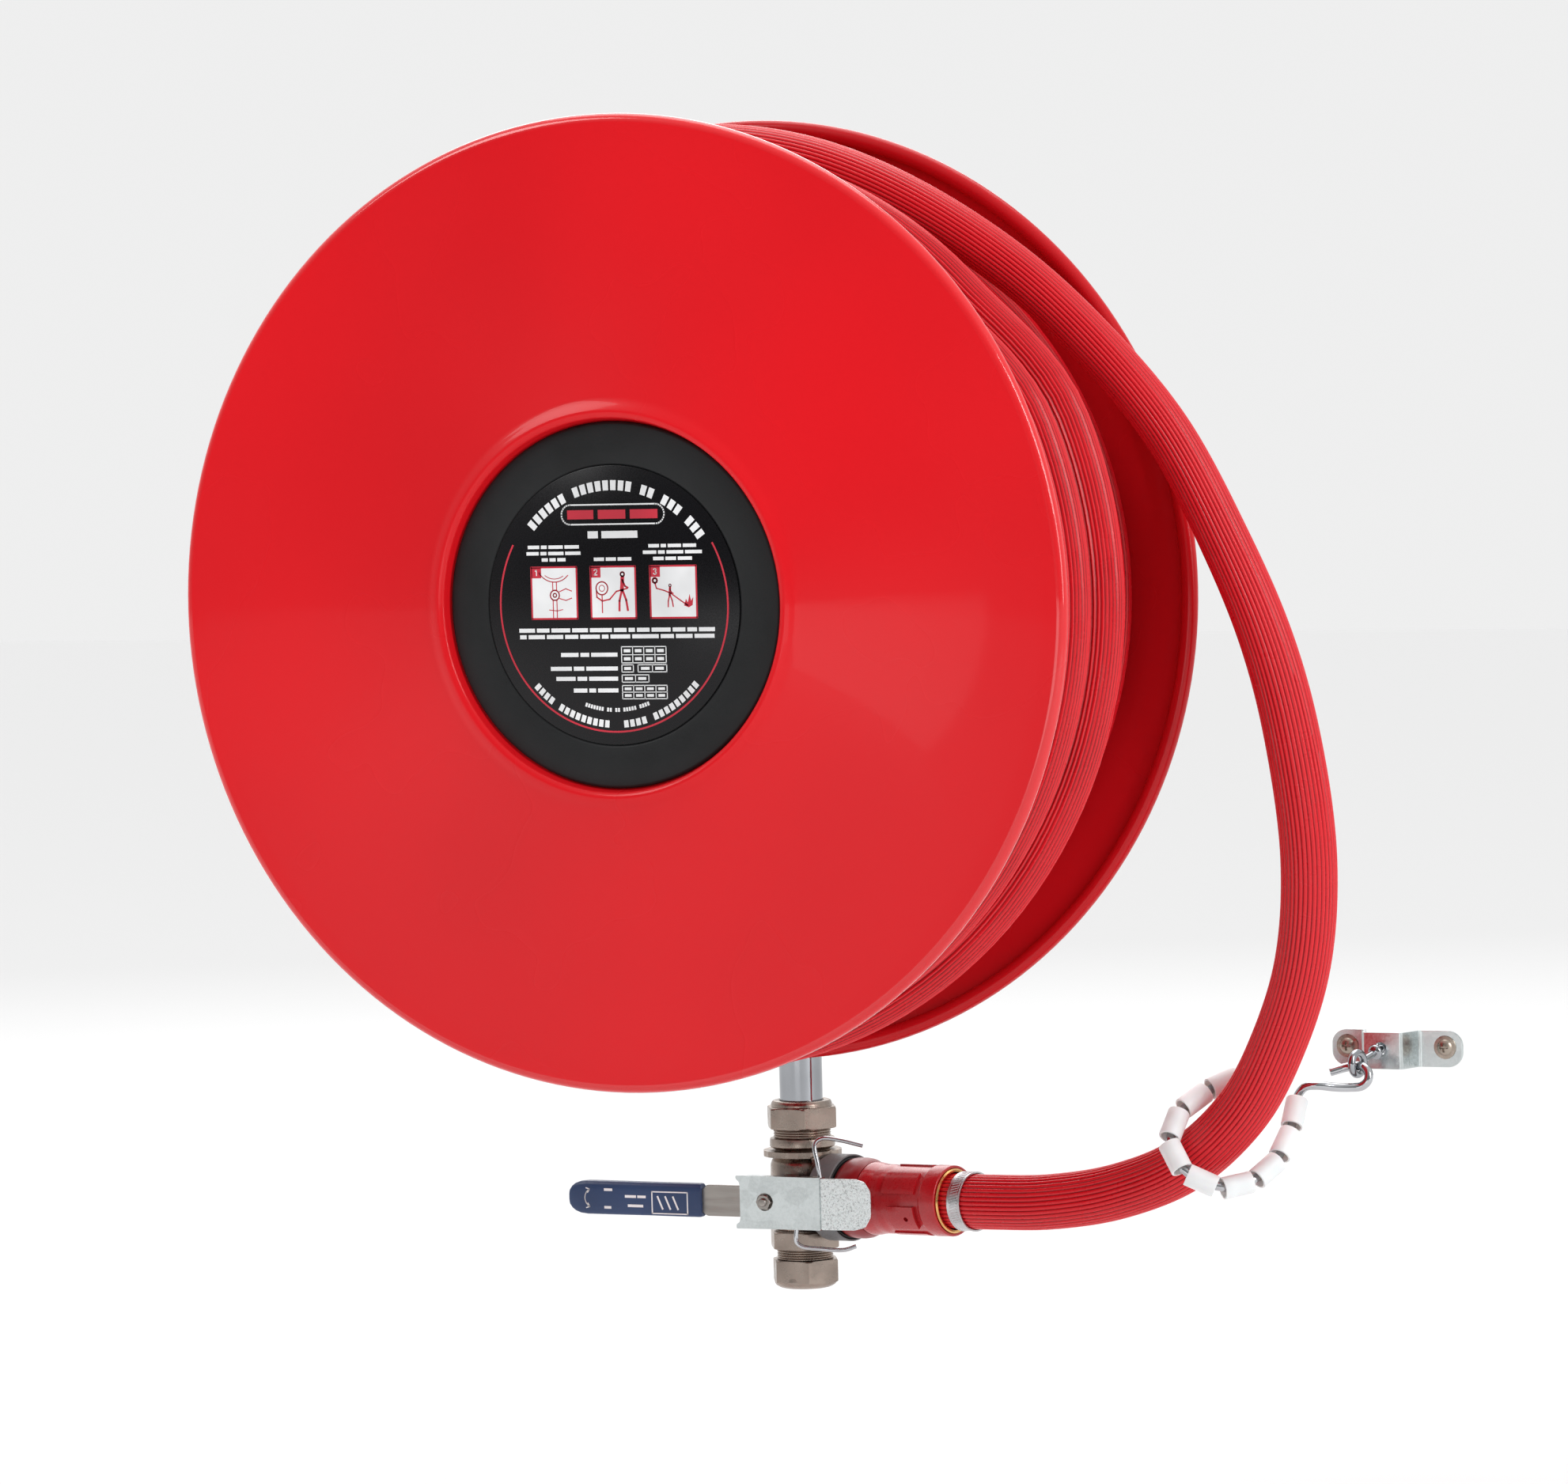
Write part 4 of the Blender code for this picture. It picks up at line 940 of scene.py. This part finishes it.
def stick_person(ink, x, top, size):
    """A plain figure: a round head, the trunk, one arm held out and two legs."""
    ink.stroke(arc((x, top - 1.3 * size), 1.3 * size, 0, 360, 12), 0.9 * size)
    limbs = (
        (2.4, (0, 3.0), (-0.6, 11.0)),
        (1.0, (-0.2, 4.6), (1.6, 8.6), (3.6, 9.6)),
        (1.3, (-0.6, 11.0), (-2.4, 17.6), (-2.6, 23.6)),
        (1.3, (-0.2, 11.0), (2.2, 17.2), (3.2, 23.4)))
    for width, *points in limbs:
        ink.stroke([(x + across * size, top - down * size) for across, down in points], width * size)


# ---------------------------------------------------------------- supply tube and stop valve

def threads(low, high, radius, pitch=0.0016, depth=0.0008):
    """A row of V grooves between two heights, as (radius, height) points from high to low."""
    count = max(1, round((high - low) / pitch))
    step = (high - low) / count
    chain = []
    for k in range(count):
        top = high - k * step
        chain += [(radius - depth, top), (radius, top - 0.4 * step), (radius, top - 0.6 * step)]
    return chain + [(radius - depth, low)]


def supply():
    pipe = mm((12.8, -352), (13.2, -352), (14, -351.2), (14, -42), (12.8, -42))
    piece("supply_pipe", Shape().lathe(pipe, PIPE, UP, 96), CHROME, "frame", ["inlet_pipe"])
    nut = hexagon_nut(0.0425, -0.3485, -0.3345, 0.0016, PIPE, UP)
    collar = eased(mm((14.3, -336), (19.8, -336), (19.8, -332.5), (18.5, -330.5), (14.3, -330.5)), 0.001)
    nut.lathe(collar, PIPE, UP, 72)
    bore = drill(0.0145, -0.36, -0.32, PIPE, UP, 48)
    piece("pipe_nut_plated", nut, NICKEL, "frame", ["pipe_nut"], bevel=0.0004, cutters=[bore])

    outer = [(0.0145, -0.3445)] + threads(-0.3545, -0.3447, 0.0186)
    outer += mm(
        (18.3, -354.7), (20.8, -355), (21.2, -357), (21.2, -360), (20.5, -360.9), (17.8, -362.2),
        (17, -364), (17.2, -366.2), (20, -369), (21, -371.8), (21.2, -378), (21.2, -403),
        (20.8, -409.5), (19.4, -413.8), (18.5, -414.5), (18.5, -426))
    outer += threads(-0.4338, -0.4262, 0.0182)
    outer += [(0.0174, -0.4435), (0.012, -0.4435), (0.012, -0.39)]
    body = Shape().lathe(outer, PIPE, UP, 96)
    piece("valve_body_casting", body, NICKEL, "frame", ["valve_body"], sharp=32)
    collar = hexagon_nut(0.042, -0.4263, -0.415, 0.0014, PIPE, UP)
    through = drill(0.0184, -0.45, -0.4, PIPE, UP, 48)
    piece("valve_body_hexagon", collar, NICKEL, "frame", bevel=0.0004, cutters=[through])
    bonnet = eased(mm((0, 60), (13.5, 60), (13.5, 85), (12.8, 88), (6.6, 88), (0, 88)), 0.001)
    piece("valve_bonnet", Shape().lathe(bonnet, STEM, FRONT, 64), NICKEL, "frame")

    end = hexagon_nut(0.04, -0.4485, -0.4337, 0.0014, PIPE, UP)
    foot = eased(
        mm((12, -444), (20, -444), (20.4, -448.2), (19.6, -450.2), (16.5, -452.1), (12, -452.1)), 0.0012)
    end.lathe(foot, PIPE, UP, 72)
    mouth = drill(0.0121, -0.47, -0.43, PIPE, UP, 48)
    piece("supply_nut_plated", end, NICKEL, "frame", ["supply_nut"], bevel=0.0004, cutters=[mouth])
    gland = hexagon_nut(0.0225, 0.0883, 0.0955, 0.001, STEM, FRONT)
    hole = drill(0.0065, 0.08, 0.1, STEM, FRONT, 32)
    piece("gland_nut_plated", gland, NICKEL, "frame", ["gland_nut"], bevel=0.0003, cutters=[hole])


def lever():
    strip = eased(
        mm((-128, -398.5), (-44.5, -398.5), (-42, -400.5), (12, -400.5), (12, -380.3), (-42, -380.3),
        (-44.5, -383.5), (-128, -383.5)), 0.0016, closed=True)
    eye = drill(0.0032, 0.09, 0.12, STEM, FRONT, 24)
    piece("lever_bar", Shape().upright(strip, 0.1048, 0.1078), STEEL, "valve_lever", ["lever_strip"],
          bevel=0.0004, cutters=[eye])
    # The dipped vinyl sleeve has a rounded end and swells a little over the bar
    rows = []
    centre, rise = -0.3905, 0.011
    for x, share in (
            (-0.14, 0.3), (-0.1396, 0.48), (-0.138, 0.68), (-0.1355, 0.84), (-0.132, 0.95),
            (-0.127, 1.0), (-0.11, 1.0), (-0.08, 0.99), (-0.056, 1.0), (-0.0468, 1.0), (-0.0455, 0.97),
            (-0.045, 0.92)):
        half_z, half_y = rise * share, 0.0048 * min(1.0, 0.35 + 0.65 * share ** 0.5)
        ring = [(centre + z * half_z, -0.1063 + y * half_y) for y, z in superoval(28, 4.0)]
        rows.append([Vector((x, y, z)) for z, y in ring])
    hollow = Shape().block(-0.1285, -0.03, -0.3988, -0.3832, 0.1045, 0.1081)
    piece(
        "lever_vinyl_sleeve", Shape().rows(rows), BLUE, "valve_lever", ["lever_sleeve"],
        cutters=[hollow], sharp=55)
    # A plain double arrow shows that the lever turns
    ink = Shape()
    face = 0.1063 + 0.0048
    curve = arc((-0.1215, -0.3906), 0.0064, 118, 242, 12)
    for a, b in zip(curve, curve[1:]):
        stroke(ink, a, b, 0.0007, face)
    for tip, heading in ((curve[0], 20), (curve[-1], -20)):
        for spread in (-38, 38):
            turn = radians(heading + 180 + spread)
            stroke(ink, tip, (tip[0] + 0.0026 * cos(turn), tip[1] + 0.0026 * sin(turn)), 0.0007, face)
    badge = mm((-79.5, -385.5), (-54.2, -385.5), (-54.2, -399.5), (-79.5, -399.5))
    for a, b in zip(badge, badge[1:] + badge[:1]):
        stroke(ink, a, b, 0.0008, face)
    for start in (-0.0755, -0.07, -0.0645):
        stroke(ink, (start, -0.3885), (start + 0.0035, -0.3965), 0.0012, face)
    for x0, x1, z in ((-0.0985, -0.0915, -0.389), (-0.0895, -0.0845, -0.389), (-0.0965, -0.0865, -0.395),
                      (-0.1135, -0.1085, -0.385), (-0.1135, -0.1095, -0.3965)):
        stroke(ink, (x0, z), (x1, z), 0.0017, face)
    piece("lever_arrow", ink, INK_WHITE, "valve_lever")

    nut = hexagon_nut(0.009, PLATE_FACE, PLATE_FACE + 0.0041, 0.0007, STEM, FRONT)
    piece("lever_lock_nut", nut, STEEL, "valve_lever", ["lever_nut"], bevel=0.0002)
    stud = mm((2.4, 105), (2.7, 106), (2.7, 113.4), (2.2, 114.1), (0, 114.3))
    piece("valve_stem_end", Shape().lathe([(0, 0.105)] + stud, STEM, FRONT, 32), STEEL,
          "valve_lever")


def stroke(shape, a, b, width, depth):
    """A thin raised line from a to b, two (x, z) points, on a face that looks to the front."""
    a, b = Vector(a), Vector(b)
    along = (b - a).normalized()
    beside = Vector((-along.y, along.x)) * width / 2
    reach = along * width * 0.3
    corners = [a - reach - beside, b + reach - beside, b + reach + beside, a - reach + beside]
    shape.upright(corners, depth - 0.0003, depth + 0.00006)


def superoval(count, power):
    """Points round a squared oval of half-size 1, as (across, up)."""
    ring = []
    for k in range(count):
        t = 2 * pi * k / count
        ring.append(tuple(copysign(abs(v) ** (2 / power), v) for v in (cos(t), sin(t))))
    return ring


def interlock():
    """The zinc plate that covers the nozzle while the valve is shut, and its spangled tongue."""
    face = PLATE_FACE
    outline = mm(
        (-20.3, -373.6), (-20.3, -375.8), (-18, -377.6), (-17.5, -380), (-17.5, -401), (-18, -403.5),
        (-20.3, -405), (-20.3, -407.8), (38.8, -407.2), (38.8, -373.8))
    hole = drill(0.0057, 0.1, 0.12, STEM, FRONT, 48)
    plate = Shape().upright(eased(outline, 0.0009, 3, closed=True), face, face + SHEET)
    for low, high in ((-0.3756, -0.3741), (-0.4076, -0.4062)):
        plate.block(-0.015, 0.0385, low, high, 0.1, face + 0.0007)
    piece(
        "interlock_cover", plate, ZINC, "valve_lever", ["interlock_plate"], bevel=0.00035,
        cutters=[hole])
    tongue = mm(
        (39.6, -407.2), (62.8, -406.8), (70, -404.8), (73.8, -398.5), (74.4, -396), (74.4, -383.5),
        (73.8, -381.2), (70, -375.7), (64, -374), (39.6, -374.1))
    flap = Shape().upright(eased(tongue, 0.001, 3, closed=True), face, face + SHEET - 0.0002)
    piece("interlock_tongue", flap, ZINC_TONGUE, "valve_lever", bevel=0.00035)
    fold = Shape().block(0.038, 0.0402, -0.4068, -0.3745, face, face + SHEET - 0.001)
    piece("interlock_fold", fold, ZINC, "valve_lever")


# ---------------------------------------------------------------- nozzle and its holder

PIN_ALONG, PIN_ANGLE = 0.053, radians(25)


def on_nozzle(profile, steps):
    return Shape().lathe(profile, NOZZLE_START, NOZZLE_AXIS, steps)


def nozzle_place(along, angle=0.0):
    """A frame on the nozzle's axis whose +Z runs along it and whose +X points out at the angle."""
    out = (Vector((0, -1, 0)) - NOZZLE_AXIS * NOZZLE_AXIS.dot(Vector((0, -1, 0)))).normalized()
    turn = Matrix.Rotation(angle, 3, NOZZLE_AXIS)
    x = turn @ out
    y = NOZZLE_AXIS.cross(x)
    turned = Matrix((x, y, NOZZLE_AXIS)).transposed().to_4x4()
    return Matrix.Translation(NOZZLE_START + NOZZLE_AXIS * along) @ turned


def nozzle():
    length = NOZZLE_LENGTH
    grip = [
        (0.0206, length), (0.0226, length), (0.0228, length - 0.012), (0.0215, length - 0.0132),
        (0.0215, 0.033), (0.0222, 0.029), (0.0222, 0.023), (0.0232, 0.017), (0.0236, 0.013),
        (0.008, 0.013), (0.008, 0.049), (0.0195, 0.05), (0.0195, length - 0.0225),
        (0.0206, length - 0.0215)]
    body = on_nozzle(eased(grip, 0.001, 3, closed=True), 96)
    # Long raised panels round the barrel and the boss of the stop pin
    panels = Shape()
    for degrees, wide in ((-36, 40), (82, 34), (140, 34), (-110, 40)):
        panels.rows(wrapped_pad(radians(degrees), wide, 0.034, 0.06, 0.0205, 0.0226))
    panels.rows(wrapped_pad(PIN_ANGLE, 40, 0.04, 0.06, 0.0205, 0.0238))
    pin = nozzle_place(PIN_ALONG, PIN_ANGLE)
    pin_hole = drill(0.0017, 0.014, 0.03, pin.translation, pin.to_3x3() @ Vector((1, 0, 0)), 16)
    main = piece("nozzle_barrel", body, NOZZLE_RED, "frame", ["nozzle_body"], sharp=34)
    pads = piece("nozzle_panels", panels, NOZZLE_RED, "frame", bevel=0.0005, cutters=[pin_hole])
    bush = [
        (0.0187, length - 0.0212), (0.0187, length - 0.009), (0.0182, length - 0.0002),
        (0.0186, length + 0.0012), (0.0198, length + 0.0014), (0.0206, length + 0.0004),
        (0.0204, length - 0.001), (0.0202, length - 0.0212)]
    ferrule = piece("nozzle_brass_ring", on_nozzle(bush, 64), BRASS, "frame", ["nozzle_ferrule"])
    head = mm(
        (6.5, 12.7), (23.5, 12.7), (24.4, 11), (25.6, 8), (26, 5), (26, 0), (25.6, -3), (24.7, -4.5),
        (6.5, -4.5))
    flare = piece("nozzle_flare", on_nozzle(head, 96), HEAD_RED, "nozzle_twist", ["nozzle_head"])
    ring = eased(
        mm((10, -4.8), (24.2, -4.8), (24.2, -11), (22.8, -12.5), (10, -12.5)), 0.0012, closed=True)
    bumper = piece("nozzle_rubber_ring", on_nozzle(ring, 72), RUBBER, "nozzle_twist", ["nozzle_bumper"])
    return [main, pads, ferrule, flare, bumper, hose_clip()]


def wrapped_pad(angle, wide, low, high, inner, outer, steps=10):
    """A raised pad that follows the barrel: `wide` degrees across, from low to high on the axis."""
    rows = []
    for k in range(steps + 1):
        turn = angle + radians(wide) * (k / steps - 0.5)
        place = nozzle_place(0.0, turn)
        corners = ((inner, low), (outer, low), (outer, high), (inner, high))
        rows.append([place @ Vector((r, 0, z)) for r, z in corners])
    return rows


def hose_clip():
    """A worm-drive clip: a slotted band and its screw housing."""
    low, high = NOZZLE_LENGTH + 0.0075, NOZZLE_LENGTH + 0.0175
    inner, outer = HOSE_RADIUS + 0.0004, HOSE_RADIUS + 0.0012
    edge = outer + 0.00035
    band = [
        (inner, low), (edge, low), (edge, low + 0.0008), (outer, low + 0.0011), (outer, high - 0.0011),
        (edge, high - 0.0008), (edge, high), (inner, high)]
    clip = on_nozzle(band, 120)
    for k in range(26):
        turn = radians(-100 + 5.6 * k)
        slant = Matrix.Rotation(radians(14), 4, "X")
        place = nozzle_place((low + high) / 2, turn) @ Matrix.Translation((outer, 0, 0)) @ slant
        clip.prism(mm((-0.3, -0.55), (0.22, -0.55), (0.22, 0.55), (-0.3, 0.55)), -0.0031, 0.0031, place)
    house = nozzle_place((low + high) / 2, radians(-166.6)) @ Matrix.Translation((outer, 0, 0))
    outline = rounded_box(-0.0052, -0.0006, 0.0052, 0.0058, 0.0016, 4)
    turned_house = house @ Matrix(((0, 1, 0), (1, 0, 0), (0, 0, 1))).to_4x4()
    clip.prism(outline, -0.0046, 0.0046, turned_house)
    worm_axis = house.to_3x3() @ Vector((0, 1, 0))
    worm_at = house @ Vector((0.003, 0, 0))
    clip.lathe(eased(mm((0, 4), (3, 4), (3, 8.6), (0, 8.6)), 0.0006), worm_at, worm_axis, 24)
    return piece("hose_clip_band", clip, BAND_STEEL, "frame", ["nozzle_clip"], bevel=0.00015, segments=1)


def holder():
    cup = mm(
        (26.5, -6), (27.3, -5.4), (28, -6), (28, -21.6), (27.4, -22.8), (26, -23), (9, -23), (9, -21.4),
        (25.6, -21.4), (26.5, -20.6))
    shell = on_nozzle(cup, 96)
    piece("holder_cup", shell, GREY, "frame", ["cradle_cup"])
    lining = eased(
        mm((26.2, -6), (26.2, -21), (11, -21), (11, -14.5), (24.6, -14), (24.6, -5.6)), 0.0008,
        closed=True)
    piece("holder_lining", on_nozzle(lining, 96), RUBBER, "frame", ["cradle_lining"])
    for name, route in (("upper", UPPER_WIRE_ROUTE), ("lower", LOWER_WIRE_ROUTE)):
        line = smooth_route(route, 0.0012)
        piece(
            f"holder_wire_{name}", Shape().tube(line, circle(CRADLE_WIRE_RADIUS, 14)), WIRE_CHROME,
            "frame", [f"cradle_wire_{name}"])


# ---------------------------------------------------------------- hose guide

def guide():
    line = smooth_route(HOOK_ROUTE + LOOP_ROUTE, 0.002)
    piece(
        "guide_wire", Shape().tube(line, circle(GUIDE_WIRE_RADIUS, 20)), WIRE_CHROME, "guide",
        ["guide_ring"], bevel=0.0005)
    reach = EYE_CENTRE - SWIVEL_POINT
    across = reach.cross(UP).normalized()
    eye_radius, eye_wire = 0.0068, 0.0024
    shank = reach.length - eye_radius
    stem = [
        (0, shank), (0.0022, shank), (0.0022, 0.0092), (0.0034, 0.0088), (0.0046, 0.0074),
        (0.005, 0.0062), (0.0046, 0.0049), (0.0034, 0.004), (0.0022, 0.0036), (0.0022, -0.004),
        (0.0052, -0.0046), (0.006, -0.006), (0.0052, -0.0076), (0.003, -0.0084), (0, -0.0085)]
    eye = Shape().lathe(stem, SWIVEL_POINT, reach, 40)
    eye.lathe(arc((eye_radius, 0), eye_wire, 0, -345, 23), EYE_CENTRE, across, 56)
    piece("guide_swivel_eye", eye, CHROME, "guide", ["swivel_eye"])
    for number in range(1, 11):
        roller(number)


def roller(number):
    """A cut length of white tube with softened rims, on the wire where the CAD has its joint."""
    node = f"guide_roller_{number:02d}"
    joint = next(j for j in frame["joints"] if j["child"] == f"roller_{number:02d}")
    at, axis = Vector(joint["pos_m"]), Vector(joint["axis"])
    half = ROLLER_HALF
    profile = [
        (0.0064, half), (0.0069, half - 0.0001), (0.007, half - 0.0005), (0.007, 0.5 * half),
        (0.007, -0.5 * half), (0.007, -half + 0.0005), (0.0069, -half + 0.0001), (0.0064, -half),
        (0.0058, -half), (0.0056, -half + 0.0004), (0.004, -0.002), (0.004, 0.002),
        (0.0056, half - 0.0004), (0.0058, half)]
    tube = Shape().lathe(profile, at, axis, 48)
    piece(f"{node}_tube", tube, WHITE, f"roller_{number:02d}", [node])


def bracket():
    """The folded zinc strap with rounded ends, its washers and its crosshead screws."""
    left, right, rise, sheet = 0.3485, 0.4357, 0.02, 0.002
    low, high = -0.3066, -0.2836
    outline = [
        (left, 0), (0.3712, 0), (0.377, rise - sheet), (0.4, rise - sheet), (0.4058, 0), (right, 0),
        (right, sheet), (0.407, sheet), (0.4016, rise), (0.3754, rise), (0.37, sheet), (left, sheet)]
    folded = eased(outline, 0.0016, 3, closed=True)
    strap = Shape().rows([[Vector((x, -depth, z)) for x, depth in folded] for z in (low, high)])
    cutters = [drill(0.004, 0.01, 0.03, Vector((SWIVEL_POINT.x, 0, SWIVEL_POINT.z)), FRONT, 32)]
    corner = 0.01
    for end, way in ((left, 1), (right, -1)):
        for edge, side in ((low, 1), (high, -1)):
            centre = (end + way * corner, edge + side * corner)
            start = 180 if way == 1 else 0
            turn = 90 * way * side
            round_off = arc(centre, corner, start, start + turn, 10)
            outside = (end - way * 0.002, edge - side * 0.002)
            waste = [*round_off, (centre[0], outside[1]), outside, (outside[0], centre[1])]
            cutters.append(Shape().upright(waste, -0.01, 0.012))
    piece("guide_strap", strap, ZINC, "frame", ["guide_bracket"], bevel=0.0003, cutters=cutters)
    for side, x in (("left", 0.359), ("right", 0.424)):
        at = Vector((x, 0, -0.294))
        head = mm(
            (0, 5.2), (1.6, 5.1), (3.2, 4.6), (4.6, 3.6), (5.1, 2.8), (5, 2.4), (2.7, 2.4), (2.7, 0.2),
            (0, 0.2))
        cross = [Shape().block(x - across, x + across, at.z - upward, at.z + upward, depth, 0.007)
                 for across, upward, depth in ((0.0029, 0.0007, 0.003), (0.0007, 0.0029, 0.0031))]
        piece(f"guide_screw_{side}_head", Shape().lathe(head, at, FRONT, 40), SCREW_STEEL, "frame",
              [f"guide_screw_{side}"], cutters=cross)
        washer = mm((3, 2.1), (7.4, 2.1), (7.2, 2.6), (5, 2.8), (3, 2.8))
        piece(f"guide_washer_{side}", Shape().lathe(washer, at, FRONT, 48), SCREW_STEEL, "frame")


# ---------------------------------------------------------------- CAD pieces that keep their shape

KEPT = {
    # The wall plate and the drum barrel wear the red enamel darkened with painted shade
    SHADED_RED_ENAMEL: ("wall_plate", "drum_barrel"),
    BRASS: ("inlet_elbow", "valve_stem", "swivel_hub", "outlet_elbow"),
    BRONZE: ("hub_bush_rear", "hub_bush_front"),
    STEEL: ("fixed_spindle", "flange_bolt_left", "flange_bolt_right", "spindle_nut"),
    BAND_STEEL: ("lead_clip",),
    NICKEL: ("cradle_bracket",),
    CHROME: ("valve_ball",),
    SEAT: ("ball_seat_upper", "ball_seat_lower"),
    RUBBER: ("swivel_seal_rear", "swivel_seal_front"),
    HOSE_RUBBER: ("hose_lead",),
}

SHARP_EDGED = ("wall_plate", "inlet_elbow", "fixed_spindle", "flange_bolt_left", "flange_bolt_right",
               "spindle_nut", "cradle_bracket")


def kept_nodes():
    for look, names in KEPT.items():
        for name in names:
            node = frame["nodes"][name]
            node.data.materials.clear()
            node.data.materials.append(look)
            if name in SHARP_EDGED:
                ease_edges(node, 0.0005)
                flatten_shading(node)


camera()
studio()
floor()
free_run, free_line, drum_hose, drum_line = hoses()
discs()
cap()
label_print()
supply()
lever()
interlock()
on_hose = nozzle()
holder()
guide()
bracket()
kept_nodes()
